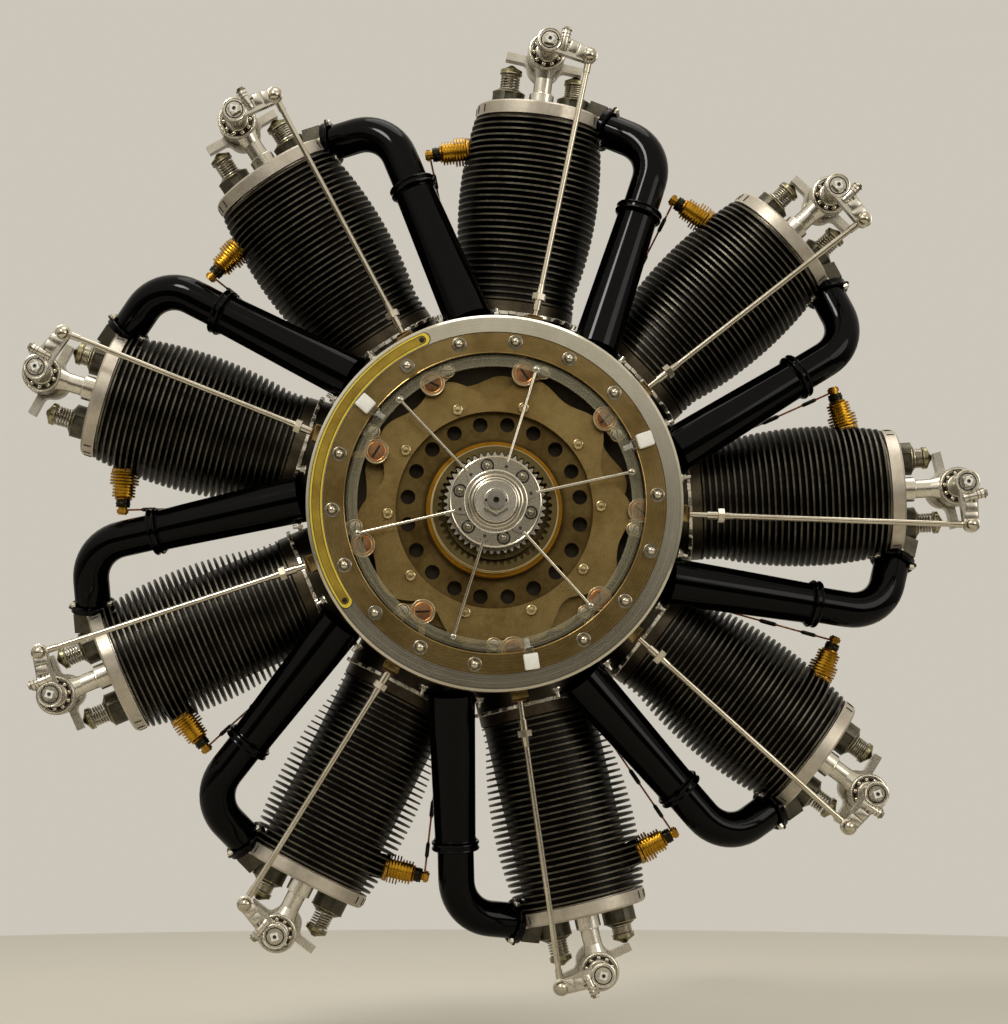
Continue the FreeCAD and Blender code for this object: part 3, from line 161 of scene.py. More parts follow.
def start_group(name, inputs, outputs):
    """An empty shader node group with its named sockets."""
    group = bpy.data.node_groups.new(name, "ShaderNodeTree")
    for socket, kind in inputs:
        group.interface.new_socket(socket, in_out="INPUT", socket_type="NodeSocket" + kind)
    for socket, kind in outputs:
        group.interface.new_socket(socket, in_out="OUTPUT", socket_type="NodeSocket" + kind)
    source = group.nodes.new("NodeGroupInput").outputs
    target = group.nodes.new("NodeGroupOutput").inputs
    return group, source, target


def make_patina():
    """Stains in two sizes: a colour that drifts between clean and stained."""
    group, source, target = start_group(
        "patina",
        [("Place", "Vector"), ("Scale", "Float"), ("Clean", "Color"), ("Stained", "Color"),
         ("Amount", "Float")],
        [("Color", "Color")],
    )
    clouds = noise(group, source["Place"], source["Scale"], 5.0, 0.6)
    specks = noise(group, source["Place"], arithmetic(group, "MULTIPLY", source["Scale"], 9.0), 3.0, 0.6)
    clouds = arithmetic(group, "MULTIPLY", clouds, 0.75)
    specks = arithmetic(group, "MULTIPLY", specks, 0.25)
    both = arithmetic(group, "ADD", clouds, specks)
    mask = arithmetic(group, "MULTIPLY", spread(group, both, 0.38, 0.64), source["Amount"])
    group.links.new(blended(group, mask, source["Clean"], source["Stained"]), target["Color"])
    return group


def make_grain():
    """Fine cast or handled grain: a bump and an unevenness for the gloss."""
    group, source, target = start_group(
        "grain",
        [("Place", "Vector"), ("Scale", "Float"), ("Height", "Float")],
        [("Normal", "Vector"), ("Unevenness", "Float")],
    )
    fine = noise(group, source["Place"], source["Scale"], 3.0, 0.6)
    bump = add_node(group, "ShaderNodeBump")
    bump.inputs["Distance"].default_value = 0.0002
    group.links.new(source["Height"], bump.inputs["Strength"])
    group.links.new(fine, bump.inputs["Height"])
    group.links.new(bump.outputs["Normal"], target["Normal"])
    group.links.new(fine, target["Unevenness"])
    return group


def make_lathe_marks():
    """Fine rings round the shaft's axis, as a lathe leaves them."""
    group, source, target = start_group(
        "lathe_marks",
        [("Place", "Vector"), ("Scale", "Float"), ("Height", "Float")],
        [("Normal", "Vector"), ("Unevenness", "Float"), ("Radius", "Float")],
    )
    parts = add_node(group, "ShaderNodeSeparateXYZ")
    group.links.new(source["Place"], parts.inputs[0])
    across = arithmetic(group, "MULTIPLY", parts.outputs["X"], parts.outputs["X"])
    upward = arithmetic(group, "MULTIPLY", parts.outputs["Z"], parts.outputs["Z"])
    radius = arithmetic(group, "SQRT", arithmetic(group, "ADD", across, upward))
    flat = add_node(group, "ShaderNodeCombineXYZ")
    group.links.new(radius, flat.inputs["X"])
    group.links.new(parts.outputs["Y"], flat.inputs["Y"])
    rings = noise(group, flat.outputs[0], source["Scale"], 2.0, 0.7)
    bump = add_node(group, "ShaderNodeBump")
    bump.inputs["Distance"].default_value = 0.0001
    group.links.new(source["Height"], bump.inputs["Strength"])
    group.links.new(rings, bump.inputs["Height"])
    group.links.new(bump.outputs["Normal"], target["Normal"])
    group.links.new(rings, target["Unevenness"])
    group.links.new(radius, target["Radius"])
    return group


def make_cylinder_space():
    """Any place folded onto one upright cylinder: across it, out from the crankshaft, and from its axis."""
    group, source, target = start_group(
        "cylinder_space",
        [("Place", "Vector")],
        [("Across", "Float"), ("Outward", "Float"), ("From axis", "Float"), ("Forward", "Float")],
    )
    parts = add_node(group, "ShaderNodeSeparateXYZ")
    group.links.new(source["Place"], parts.inputs[0])
    pitch = 2 * math.pi / CYLINDERS
    angle = arithmetic(group, "ARCTAN2", parts.outputs["X"], parts.outputs["Z"])
    angle = arithmetic(group, "ADD", angle, 2 * math.pi + pitch / 2 - math.radians(FIRST_ANGLE))
    angle = arithmetic(group, "SUBTRACT", arithmetic(group, "MODULO", angle, pitch), pitch / 2)
    across = arithmetic(group, "MULTIPLY", parts.outputs["X"], parts.outputs["X"])
    upward = arithmetic(group, "MULTIPLY", parts.outputs["Z"], parts.outputs["Z"])
    radius = arithmetic(group, "SQRT", arithmetic(group, "ADD", across, upward))
    side = arithmetic(group, "MULTIPLY", radius, arithmetic(group, "SINE", angle))
    out = arithmetic(group, "MULTIPLY", radius, arithmetic(group, "COSINE", angle))
    forward = arithmetic(group, "ADD", parts.outputs["Y"], -CYLINDER_Y / 1000)
    side_squared = arithmetic(group, "MULTIPLY", side, side)
    forward_squared = arithmetic(group, "MULTIPLY", forward, forward)
    span = arithmetic(group, "ADD", side_squared, forward_squared)
    group.links.new(side, target["Across"])
    group.links.new(out, target["Outward"])
    group.links.new(arithmetic(group, "SQRT", span), target["From axis"])
    group.links.new(forward, target["Forward"])
    return group


PATINA = make_patina()
GRAIN = make_grain()
LATHE_MARKS = make_lathe_marks()
CYLINDER_SPACE = make_cylinder_space()


class Finish:
    """One material with its Principled shader, and its effects placed on Object coordinates."""

    def __init__(self, name, rough, metal=1.0, **constants):
        self.material = bpy.data.materials.new(name)
        self.material.use_nodes = True
        self.tree = self.material.node_tree
        self.shader = self.tree.nodes["Principled BSDF"]
        self.shader.inputs["Roughness"].default_value = rough
        self.shader.inputs["Metallic"].default_value = metal
        for socket, value in constants.items():
            self.shader.inputs[socket.replace("_", " ")].default_value = value
        self.place = add_node(self.tree, "ShaderNodeTexCoord").outputs["Object"]

    def effect(self, group, **values):
        node = add_node(self.tree, "ShaderNodeGroup", node_tree=group)
        self.tree.links.new(self.place, node.inputs["Place"])
        for socket, value in values.items():
            if isinstance(value, (int, float, tuple)):
                node.inputs[socket].default_value = value
            else:
                self.tree.links.new(value, node.inputs[socket])
        return node.outputs

    def feed(self, socket, output):
        self.tree.links.new(output, self.shader.inputs[socket])

    def patina(self, scale, clean, stained, amount):
        """A stained colour, from two colours as they look on a screen."""
        values = {"Scale": scale, "Clean": linear(*clean), "Stained": linear(*stained), "Amount": amount}
        return self.effect(PATINA, **values)["Color"]

    def texture(self, group, scale, height, low, high):
        """Bump and an uneven gloss from grain or lathe marks."""
        out = self.effect(group, Scale=scale, Height=height)
        self.feed("Normal", out["Normal"])
        self.feed("Roughness", spread(self.tree, out["Unevenness"], 0.3, 0.7, low, high))
        return out


def plain_finish(name, clean, stained, low, high, metal=1.0, stain_scale=18.0, amount=0.6,
                 marks=None, marks_scale=900.0, height=0.35, **constants):
    finish = Finish(name, (low + high) / 2, metal, **constants)
    finish.feed("Base Color", finish.patina(stain_scale, clean, stained, amount))
    finish.texture(marks or GRAIN, marks_scale, height, low, high)
    return finish.material


def cylinder_finish():
    """Near-black fins with lighter edges, a brownish foot, grey head and dark valve cages."""
    finish = Finish("cylinder_steel", 0.45, 0.85)
    tree = finish.tree
    place = finish.effect(CYLINDER_SPACE)
    out, away, side = place["Outward"], place["From axis"], place["Across"]
    swell = arithmetic(tree, "DIVIDE", arithmetic(tree, "SUBTRACT", out, 0.335), 0.072)
    swell = arithmetic(tree, "MULTIPLY", arithmetic(tree, "MULTIPLY", swell, swell), 0.0065)
    fin_edge = arithmetic(tree, "MAXIMUM", arithmetic(tree, "SUBTRACT", 0.0728, swell), 0.060)
    # Lighter colour within 0.7 mm of each fin's outer edge.
    light_edge_mask = spread(tree, arithmetic(tree, "SUBTRACT", away, fin_edge), -0.0007, 0.0)
    fins = finish.patina(22.0, (14, 13, 11), (34, 30, 24), 0.5)
    edges = finish.patina(40.0, (98, 93, 80), (46, 42, 34), 0.9)
    foot = finish.patina(30.0, (86, 77, 62), (48, 41, 32), 0.8)
    head = finish.patina(26.0, (196, 187, 172), (144, 135, 118), 0.6)
    cages = finish.patina(60.0, (92, 88, 76), (50, 47, 38), 0.8)
    colour = blended(tree, light_edge_mask, fins, edges)
    colour = blended(tree, spread(tree, out, 0.2152, 0.2156, 1.0, 0.0), colour, foot)
    colour = blended(tree, spread(tree, out, 0.4088, 0.4092), colour, head)
    block = arithmetic(tree, "MULTIPLY", spread(tree, side, 0.0665, 0.0670), spread(tree, out, 0.385, 0.386))
    colour = blended(tree, block, colour, head)
    colour = blended(tree, spread(tree, out, 0.4243, 0.4246), colour, cages)
    finish.feed("Base Color", colour)
    grain = finish.effect(GRAIN, Scale=700.0, Height=0.3)
    finish.feed("Normal", grain["Normal"])
    satin = spread(tree, grain["Unevenness"], 0.3, 0.7, 0.34, 0.5)
    finish.feed("Roughness", satin)
    return finish.material


def cam_drum_finish():
    """Olive steel web, golden step round the gear, a bright gear rim, and a painted shadow on the web under
    the cam ring.
    """
    finish = Finish("cam_drum_steel", 0.35, 0.95)
    tree = finish.tree
    centred = add_node(tree, "ShaderNodeMapping")
    centred.inputs["Location"].default_value = (0.0, 0.0, -CAM_CENTRE_Z / 1000)
    tree.links.new(finish.place, centred.inputs["Vector"])
    marks = add_node(tree, "ShaderNodeGroup", node_tree=LATHE_MARKS)
    tree.links.new(centred.outputs[0], marks.inputs["Place"])
    marks.inputs["Scale"].default_value = 1100.0
    marks.inputs["Height"].default_value = 0.35
    radius = marks.outputs["Radius"]
    web = finish.patina(24.0, (118, 100, 62), (74, 56, 28), 0.8)
    step = finish.patina(30.0, (170, 122, 40), (112, 76, 26), 0.7)
    rim = finish.patina(30.0, (116, 102, 68), (80, 68, 42), 0.6)
    colour = blended(tree, spread(tree, radius, 0.0683, 0.0685, 1.0, 0.0), web, step)
    # Painted shadow: from 96.5 mm outward (fully from 103.5 mm) the web is darkened towards dark brown,
    # where the cam ring's inner edge shades it; the web just outside the step is also darkened, fading out
    # by 74 mm.
    ring_shadow = spread(tree, radius, 0.0965, 0.1035)
    inner_dark_band = spread(tree, radius, 0.0690, 0.0740, 1.0, 0.0)
    shadow_and_dark_band = arithmetic(tree, "MAXIMUM", ring_shadow, inner_dark_band)
    colour = blended(tree, arithmetic(tree, "MULTIPLY", shadow_and_dark_band, 0.7), colour, linear(30, 26, 18))
    colour = blended(tree, spread(tree, radius, 0.0682, 0.0684, 1.0, 0.0), colour, step)
    colour = blended(tree, spread(tree, radius, 0.0640, 0.0642, 1.0, 0.0), colour, linear(206, 190, 142))
    colour = blended(tree, spread(tree, radius, 0.0622, 0.0624, 1.0, 0.0), colour, rim)
    finish.feed("Base Color", colour)
    finish.feed("Normal", marks.outputs["Normal"])
    finish.feed("Roughness", spread(tree, marks.outputs["Unevenness"], 0.3, 0.7, 0.26, 0.42))
    return finish.material


def plug_finish():
    """Golden finned body, dark insulator and a bright terminal, told apart along the plug."""
    finish = Finish("plug_brass", 0.32, 1.0)
    tree = finish.tree
    place = finish.effect(CYLINDER_SPACE)
    way = (PLUG_TIP - PLUG_SEAT).normalized()
    across = arithmetic(tree, "SUBTRACT", place["Across"], PLUG_SEAT.x / 1000)
    outward = arithmetic(tree, "SUBTRACT", place["Outward"], PLUG_SEAT.z / 1000)
    across = arithmetic(tree, "MULTIPLY", across, way.x)
    outward = arithmetic(tree, "MULTIPLY", outward, way.z)
    along = arithmetic(tree, "ADD", across, outward)
    body = finish.patina(60.0, (192, 144, 46), (116, 80, 20), 0.8)
    dark = finish.patina(60.0, (52, 50, 36), (24, 22, 18), 0.8)
    insulator = spread(tree, along, 0.0304, 0.0308)
    colour = blended(tree, insulator, body, dark)
    colour = blended(tree, spread(tree, along, 0.0396, 0.0399), colour, body)
    finish.feed("Base Color", colour)
    grain = finish.effect(GRAIN, Scale=900.0, Height=0.3)
    finish.feed("Normal", grain["Normal"])
    finish.feed("Roughness", spread(tree, grain["Unevenness"], 0.3, 0.7, 0.24, 0.38))
    return finish.material


def clear_finish(name, tint, edge, gloss):
    """A clear pane: light goes straight through, with a sheen and milky edges."""
    material = bpy.data.materials.new(name)
    material.use_nodes = True
    tree = material.node_tree
    shader = tree.nodes["Principled BSDF"]
    shader.inputs["Base Color"].default_value = edge
    shader.inputs["Roughness"].default_value = gloss
    shader.inputs["IOR"].default_value = 1.49
    place = add_node(tree, "ShaderNodeTexCoord").outputs["Object"]
    scratches = add_node(tree, "ShaderNodeGroup", node_tree=GRAIN)
    tree.links.new(place, scratches.inputs["Place"])
    scratches.inputs["Scale"].default_value = 120.0
    scratches.inputs["Height"].default_value = 0.12
    tree.links.new(scratches.outputs["Normal"], shader.inputs["Normal"])
    uneven = spread(tree, scratches.outputs["Unevenness"], 0.3, 0.7, gloss, gloss + 0.1)
    tree.links.new(uneven, shader.inputs["Roughness"])
    clear = add_node(tree, "ShaderNodeBsdfTransparent")
    clear.inputs["Color"].default_value = tint
    facing = add_node(tree, "ShaderNodeLayerWeight")
    facing.inputs["Blend"].default_value = 0.32
    marks = add_node(tree, "ShaderNodeGroup", node_tree=LATHE_MARKS)
    tree.links.new(place, marks.inputs["Place"])
    marks.inputs["Scale"].default_value = 400.0
    rim = arithmetic(tree, "MULTIPLY", spread(tree, marks.outputs["Radius"], 0.1475, 0.1485, 1.0, 0.0),
                     spread(tree, marks.outputs["Unevenness"], 0.35, 0.65, 0.08, 0.34))
    mix = add_node(tree, "ShaderNodeMixShader")
    sheen = spread(tree, facing.outputs["Facing"], 0.0, 1.0, 0.025, 0.8)
    tree.links.new(arithmetic(tree, "MAXIMUM", rim, sheen), mix.inputs["Fac"])
    tree.links.new(clear.outputs[0], mix.inputs[1])
    tree.links.new(shader.outputs[0], mix.inputs[2])
    tree.links.new(mix.outputs[0], tree.nodes["Material Output"].inputs["Surface"])
    return material


PLAIN_FINISHES = {
    "shaft_steel": dict(clean=(170, 166, 156), stained=(110, 102, 88), low=0.22, high=0.36,
                        marks=LATHE_MARKS, marks_scale=900.0),
    "bearer_paint": dict(clean=(34, 34, 34), stained=(22, 21, 20), low=0.35, high=0.5, metal=0.0),
    "magneto_alloy": dict(clean=(160, 158, 150), stained=(110, 106, 96), low=0.4, high=0.6,
                          marks_scale=450.0, height=0.6),
    "carb_bronze": dict(clean=(160, 124, 70), stained=(100, 76, 44), low=0.34, high=0.5),
    "hub_bronze": dict(clean=(170, 132, 72), stained=(110, 84, 44), low=0.3, high=0.45),
    "case_steel": dict(clean=(74, 68, 58), stained=(40, 36, 30), low=0.34, high=0.5,
                       marks=LATHE_MARKS, marks_scale=600.0),
    "ring_alloy": dict(clean=(214, 208, 190), stained=(176, 168, 144), low=0.12, high=0.24,
                       stain_scale=9.0, amount=0.5, marks=LATHE_MARKS, marks_scale=1400.0, height=0.16),
    "clamp_brass": dict(clean=(150, 128, 84), stained=(108, 88, 50), low=0.2, high=0.34,
                        stain_scale=22.0, amount=0.8, marks=LATHE_MARKS, marks_scale=1000.0, height=0.3),
    "bright_steel": dict(clean=(214, 208, 194), stained=(156, 148, 130), low=0.2, high=0.36,
                         stain_scale=40.0, amount=0.5, marks_scale=1400.0, height=0.2),
    "nickel": dict(clean=(196, 188, 170), stained=(142, 131, 108), low=0.14, high=0.28,
                   stain_scale=30.0, amount=0.5, marks_scale=1600.0, height=0.12),
    "cam_steel": dict(clean=(160, 138, 90), stained=(112, 86, 44), low=0.24, high=0.4,
                      stain_scale=14.0, amount=0.8, marks_scale=1300.0, height=0.25),
    "pipe_black": dict(clean=(4, 4, 5), stained=(8, 8, 8), low=0.08, high=0.15,
                       metal=0.0, amount=0.4, marks_scale=60.0, height=0.08,
                       Specular_IOR_Level=0.05, Coat_Weight=0.12, Coat_Roughness=0.02),
    "insulation": dict(clean=(60, 54, 48), stained=(36, 32, 28), low=0.4, high=0.6, metal=0.0),
    "wire_copper": dict(clean=(186, 116, 74), stained=(120, 70, 44), low=0.3, high=0.45, stain_scale=60.0),
    "piston_alloy": dict(clean=(180, 178, 170), stained=(130, 126, 116), low=0.3, high=0.45),
    "tappet_copper": dict(clean=(176, 158, 126), stained=(132, 108, 78), low=0.28, high=0.44,
                          stain_scale=40.0, amount=0.7),
    "spring_steel": dict(clean=(184, 176, 156), stained=(104, 96, 80), low=0.2, high=0.36,
                         stain_scale=90.0, amount=0.8),
    "plug_trim": dict(clean=(196, 150, 66), stained=(124, 84, 32), low=0.24, high=0.38,
                      stain_scale=80.0, amount=0.8),
    "nylon": dict(clean=(232, 230, 220), stained=(206, 202, 186), low=0.35, high=0.5,
                  metal=0.0, stain_scale=80.0),
    "yellow_enamel": dict(clean=(226, 200, 70), stained=(196, 166, 50), low=0.25, high=0.4,
                          metal=0.3, stain_scale=30.0),
    "black_enamel": dict(clean=(26, 24, 20), stained=(44, 38, 26), low=0.3, high=0.45, metal=0.0),
    "nut_steel": dict(clean=(148, 141, 124), stained=(94, 87, 72), low=0.22, high=0.36, stain_scale=60.0),
    "olive_steel": dict(clean=(156, 148, 112), stained=(84, 78, 56), low=0.22, high=0.36,
                        stain_scale=70.0, amount=0.8),
    "bolt_brass": dict(clean=(196, 178, 132), stained=(136, 112, 68), low=0.22, high=0.36,
                       stain_scale=70.0),
    "worn_copper": dict(clean=(168, 124, 88), stained=(104, 74, 50), low=0.26, high=0.42,
                        stain_scale=70.0, amount=0.8),
    "gold_enamel": dict(clean=(168, 142, 48), stained=(120, 94, 30), low=0.28, high=0.42,
                        metal=0.35, stain_scale=40.0, amount=0.8),
    "dark_steel": dict(clean=(58, 55, 50), stained=(30, 28, 25), low=0.35, high=0.5, stain_scale=60.0),
    "orange_copper": dict(clean=(196, 134, 78), stained=(142, 92, 54), low=0.26, high=0.4,
                          stain_scale=80.0),
    "gasket_copper": dict(clean=(168, 112, 72), stained=(110, 74, 48), low=0.3, high=0.45),
}

FINISHES = {name: plain_finish(name, **values) for name, values in PLAIN_FINISHES.items()}
FINISHES.update({
    "clear_plastic": clear_finish("clear_plastic", (0.97, 0.965, 0.93, 1.0), linear(176, 168, 140), 0.06),
    "cylinder_steel": cylinder_finish(),
    "cam_drum_steel": cam_drum_finish(),
    "plug_brass": plug_finish(),
    "clear_knob": clear_finish("clear_knob", (0.95, 0.95, 0.93, 1.0), linear(226, 224, 214), 0.08),
})

SLOT_OF_NODE = {entry["node"]: entry["material_slot"] for entry in frame["record"]["subparts"]}


def dress_solids():
    """Give each solid of the frame its finish."""
    for name, solid in frame["nodes"].items():
        slot = {"cam_drum": "cam_drum_steel", "fasteners": "nut_steel"}.get(name, SLOT_OF_NODE[name])
        solid.data.materials.clear()
        solid.data.materials.append(FINISHES[slot])


# Modelling tools. Places are in millimetres; a piece for one cylinder is made for an upright one.

def choose(*pieces):
    """Select only these pieces, the first one active."""
    bpy.ops.object.select_all(action="DESELECT")
    for piece in pieces:
        piece.select_set(True)
    bpy.context.view_layer.objects.active = pieces[0]


def settle(piece):
    """Put the object's place into its mesh."""
    choose(piece)
    bpy.ops.object.transform_apply(location=True, rotation=True, scale=True)
    return piece


def bar(start, end, radius, end_radius=None, sides=24):
    """A round or many-sided bar between two points."""
    start, end = Vector(start) / 1000, Vector(end) / 1000
    way = end - start
    bpy.ops.object.select_all(action="DESELECT")
    bpy.ops.mesh.primitive_cone_add(
        vertices=sides, radius1=radius / 1000, radius2=(end_radius or radius) / 1000, depth=way.length,
        location=(start + end) / 2, rotation=way.to_track_quat("Z", "Y").to_euler())
    return settle(bpy.context.object)


def hoop(centre, way, radius, thickness, segments=64, sides=8, flat=1.0):
    """A ring of round section, pressed flat along its axis."""
    bpy.ops.object.select_all(action="DESELECT")
    bpy.ops.mesh.primitive_torus_add(
        major_radius=radius / 1000, minor_radius=thickness / 1000,
        major_segments=segments, minor_segments=sides,
        location=Vector(centre) / 1000, rotation=Vector(way).to_track_quat("Z", "Y").to_euler())
    bpy.context.object.scale = (1.0, 1.0, flat)
    return settle(bpy.context.object)


def block(centre, size, turn=0.0):
    """A box, turned about the crankshaft's direction."""
    bpy.ops.object.select_all(action="DESELECT")
    rotation = (0, math.radians(turn), 0)
    bpy.ops.mesh.primitive_cube_add(size=1.0, location=Vector(centre) / 1000, rotation=rotation)
    bpy.context.object.scale = Vector(size) / 1000
    return settle(bpy.context.object)


def ball(centre, radius):
    bpy.ops.object.select_all(action="DESELECT")
    centre = Vector(centre) / 1000
    bpy.ops.mesh.primitive_ico_sphere_add(subdivisions=2, radius=radius / 1000, location=centre)
    return settle(bpy.context.object)


def pick_faces(piece, test):
    """Open the piece in edit mode with the faces that pass the test selected."""
    choose(piece)
    bpy.ops.object.mode_set(mode="EDIT")
    bpy.ops.mesh.select_mode(type="FACE")
    bpy.ops.mesh.select_all(action="DESELECT")
    bpy.ops.object.mode_set(mode="OBJECT")
    for face in piece.data.polygons:
        face.select = test(face)
    bpy.ops.object.mode_set(mode="EDIT")


def stepped(piece, way, *steps):
    """Inset the end that looks one way and push it out or in, step by step."""
    way = Vector(way).normalized()
    pick_faces(piece, lambda face: face.normal.dot(way) > 0.95)
    for width, push in steps:
        bpy.ops.mesh.inset(thickness=width / 1000, depth=push / 1000)
    bpy.ops.object.mode_set(mode="OBJECT")
    return piece


def softened(piece, width, segments=2):
    """Round the sharp edges a little."""
    modifier = piece.modifiers.new("edges", "BEVEL")
    modifier.width = width / 1000
    modifier.segments = segments
    modifier.limit_method = "ANGLE"
    modifier.angle_limit = math.radians(35)
    choose(piece)
    bpy.ops.object.modifier_apply(modifier=modifier.name)
    return piece


def painted(piece, finish):
    piece.data.materials.clear()
    piece.data.materials.append(FINISHES[finish])
    return piece


def joined(pieces):
    choose(*pieces)
    if len(pieces) > 1:
        bpy.ops.object.join()
    return bpy.context.view_layer.objects.active


def turned_copy(piece, angle):
    """Its own mesh, turned clockwise about the crankshaft."""
    copy = piece.copy()
    copy.data = piece.data.copy()
    bpy.context.scene.collection.objects.link(copy)
    copy.rotation_euler = (0, math.radians(angle), 0)
    return settle(copy)


def cylinder_angle(k):
    return FIRST_ANGLE + 360.0 * k / CYLINDERS


def for_each_cylinder(piece):
    """Nine turned copies in one piece; the upright one goes."""
    copies = [turned_copy(piece, cylinder_angle(k)) for k in range(CYLINDERS)]
    bpy.data.objects.remove(piece)
    return joined(copies)


def tilted(piece, pivot_x, pivot_z, angle):
    """Turn a piece clockwise about an axis along Y through a point."""
    choose(piece)
    bpy.ops.object.mode_set(mode="EDIT")
    bpy.ops.mesh.select_all(action="SELECT")
    bpy.ops.transform.rotate(value=-math.radians(angle), orient_axis="Y", orient_type="GLOBAL",
                             center_override=(pivot_x / 1000, 0, pivot_z / 1000))
    bpy.ops.object.mode_set(mode="OBJECT")
    return piece


def hand_over(piece, name, body):
    """Name the finished piece, smooth it and let it ride on its body."""
    piece.name = name
    piece.data.name = name
    choose(piece)
    bpy.ops.object.shade_smooth_by_angle(angle=math.radians(35))
    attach(piece, body)
    return piece


def polar(angle, radius, y=0.0):
    turn = math.radians(angle)
    return Vector((radius * math.sin(turn), y, radius * math.cos(turn)))


def hexagon_bolt(place, way, radius, height, finish="bright_steel", washer="dark_steel"):
    """Chamfered hexagon head on its washer."""
    place, way = Vector(place), Vector(way).normalized()
    head = bar(place, place + way * height * 0.8, radius, sides=6)
    stepped(head, way, (radius * 0.14, height * 0.14), (radius * 0.35, height * 0.06))
    parts = [painted(head, finish)]
    if washer:
        plate = bar(place - way * 0.3, place + way * height * 0.18, radius * 1.3, sides=24)
        parts.append(painted(stepped(plate, way, (radius * 0.08, height * 0.04)), washer))
    return joined(parts)


def slotted_screw(place, radius, height, turn, finish, slot_finish="dark_steel"):
    """Round head that faces the front, with its slot."""
    place = Vector(place)
    front = Vector((0, -1, 0))
    head = bar(place, place + front * height, radius, sides=28)
    stepped(head, front, (radius * 0.12, height * 0.15))
    slot = block(place + front * (height * 1.15), (radius * 1.7, height * 0.12, radius * 0.26), turn)
    return joined([painted(head, finish), painted(softened(slot, radius * 0.03, 1), slot_finish)])


# Pieces round one cylinder

def pipe_line():
    """Upward way, bend corner and inward way of the inlet pipe."""
    up = (PIPE_JOINT - PIPE_FOOT).normalized()
    corner = PIPE_JOINT + up * PIPE_CORNER_RUN
    return up, corner, (PIPE_END - corner).normalized()


def make_pipe_fittings():
    """Beads of the pipe's joint, bolts of its flange, and studs of its saddle."""
    up, _, inward = pipe_line()
    parts = []
    for rise, radius in ((1.2, 22.9), (7.0, 22.9)):
        parts.append(painted(hoop(PIPE_JOINT + up * rise, up, radius, 1.5, 40, 8), "pipe_black"))
    parts.append(painted(hoop(PIPE_JOINT - up * 2.0, up, 20.9, 1.1, 40, 8), "pipe_black"))
    parts.append(painted(hoop(PIPE_END + inward * 0.4, inward, 21.6, 1.7, 40, 8), "pipe_black"))
    side = inward.cross(Vector((0, 1, 0))).normalized()
    rise = inward.cross(side).normalized()
    for angle in (35, 155, 275):
        turn = math.radians(angle)
        place = PIPE_END + side * (21.5 * math.cos(turn)) + rise * (21.5 * math.sin(turn))
        parts.append(hexagon_bolt(place, -inward, 3.8, 5.0))
    for side_angle in (-8.4, 8.4):
        out = polar(25.68 + side_angle, 1.0)
        place = out * 193.6 + Vector((0, -298.5, 0))
        parts.append(hexagon_bolt(place, out, 4.6, 5.0, washer="bright_steel"))
        tip = bar(place + out * 4.5, place + out * 9.5, 2.1, sides=16)
        parts.append(painted(stepped(tip, out, (0.5, 0.4)), "bright_steel"))
    fittings = for_each_cylinder(joined(parts))
    hand_over(fittings, "pipe_fittings", "crankcase")


def make_cylinder_feet():
    """Castellated lock ring at each cylinder's foot, open for the piston."""
    foot = bar((0, CYLINDER_Y, 199.4), (0, CYLINDER_Y, 203.6), 61.6, sides=96)
    axis = Vector((0, CYLINDER_Y / 1000, 0))

    def is_tooth(face):
        if abs(face.normal.z) > 0.5:
            return False
        offset = face.center - axis
        return int((math.degrees(math.atan2(offset.x, offset.y)) + 360) / 7.5) % 2 == 0

    pick_faces(foot, is_tooth)
    bpy.ops.mesh.inset(thickness=0.0003, depth=0.0026)
    bpy.ops.object.mode_set(mode="OBJECT")
    pick_faces(foot, lambda face: abs(face.normal.z) > 0.9 and face.area > 0.001)
    bpy.ops.mesh.inset(thickness=0.0036)
    bpy.ops.mesh.bridge_edge_loops()
    bpy.ops.object.mode_set(mode="OBJECT")
    softened(foot, 0.4, 1)
    feet = for_each_cylinder(painted(foot, "bright_steel"))
    hand_over(feet, "cylinder_lock_rings", "crankcase")


def make_head_trim():
    """Slits in the cap's edge, rings on the cages, a washer and nut round the rocker post, and an oiler."""
    parts = []
    for angle in (-118, -104, -90, -76, -62, 118, 104, 62, 76):
        turn = math.radians(angle)
        place = (64.9 * math.sin(turn), CYLINDER_Y - 64.9 * math.cos(turn), CAP_TOP - 7.5)
        slit = block(place, (1.5, 1.5, 8.0))
        parts.append(painted(softened(slit, 0.3, 1), "dark_steel"))
    nut = bar((0, POST_Y, CAP_TOP + 13.2), (0, POST_Y, CAP_TOP + 15.0), 11.6, sides=6)
    parts.append(painted(softened(stepped(nut, (0, 0, 1), (1.2, 0.9)), 0.3, 1), "bright_steel"))
    washer = bar((0, POST_Y, CAP_TOP - 0.2), (0, POST_Y, CAP_TOP + 1.4), 14.6, sides=40)
    parts.append(painted(stepped(washer, (0, 0, 1), (0.6, 0.4)), "bright_steel"))
    for side in (-1, 1):
        x = side * VALVE_OUT
        shoulder = hoop((x, CYLINDER_Y, CAP_TOP + 16.4), (0, 0, 1), 16.6, 0.8, 40, 8)
        parts.append(painted(shoulder, "olive_steel"))
        seat = hoop((x, CYLINDER_Y, CAGE_TOP), (0, 0, 1), 11.0, 0.8, 40, 8)
        parts.append(painted(seat, "bright_steel"))
    oiler_y = HOUSING_FRONT + 8
    oiler = bar((0, oiler_y, ROCKER_AT - 19.5), (0, oiler_y, ROCKER_AT - 26.0), 3.6, 2.6, sides=16)
    stepped(oiler, (0, 0, -1), (0.6, 0.5), (0.4, 1.4))
    parts.append(painted(oiler, "clamp_brass"))
    trim = for_each_cylinder(joined(parts))
    hand_over(trim, "head_trim", "crankcase")


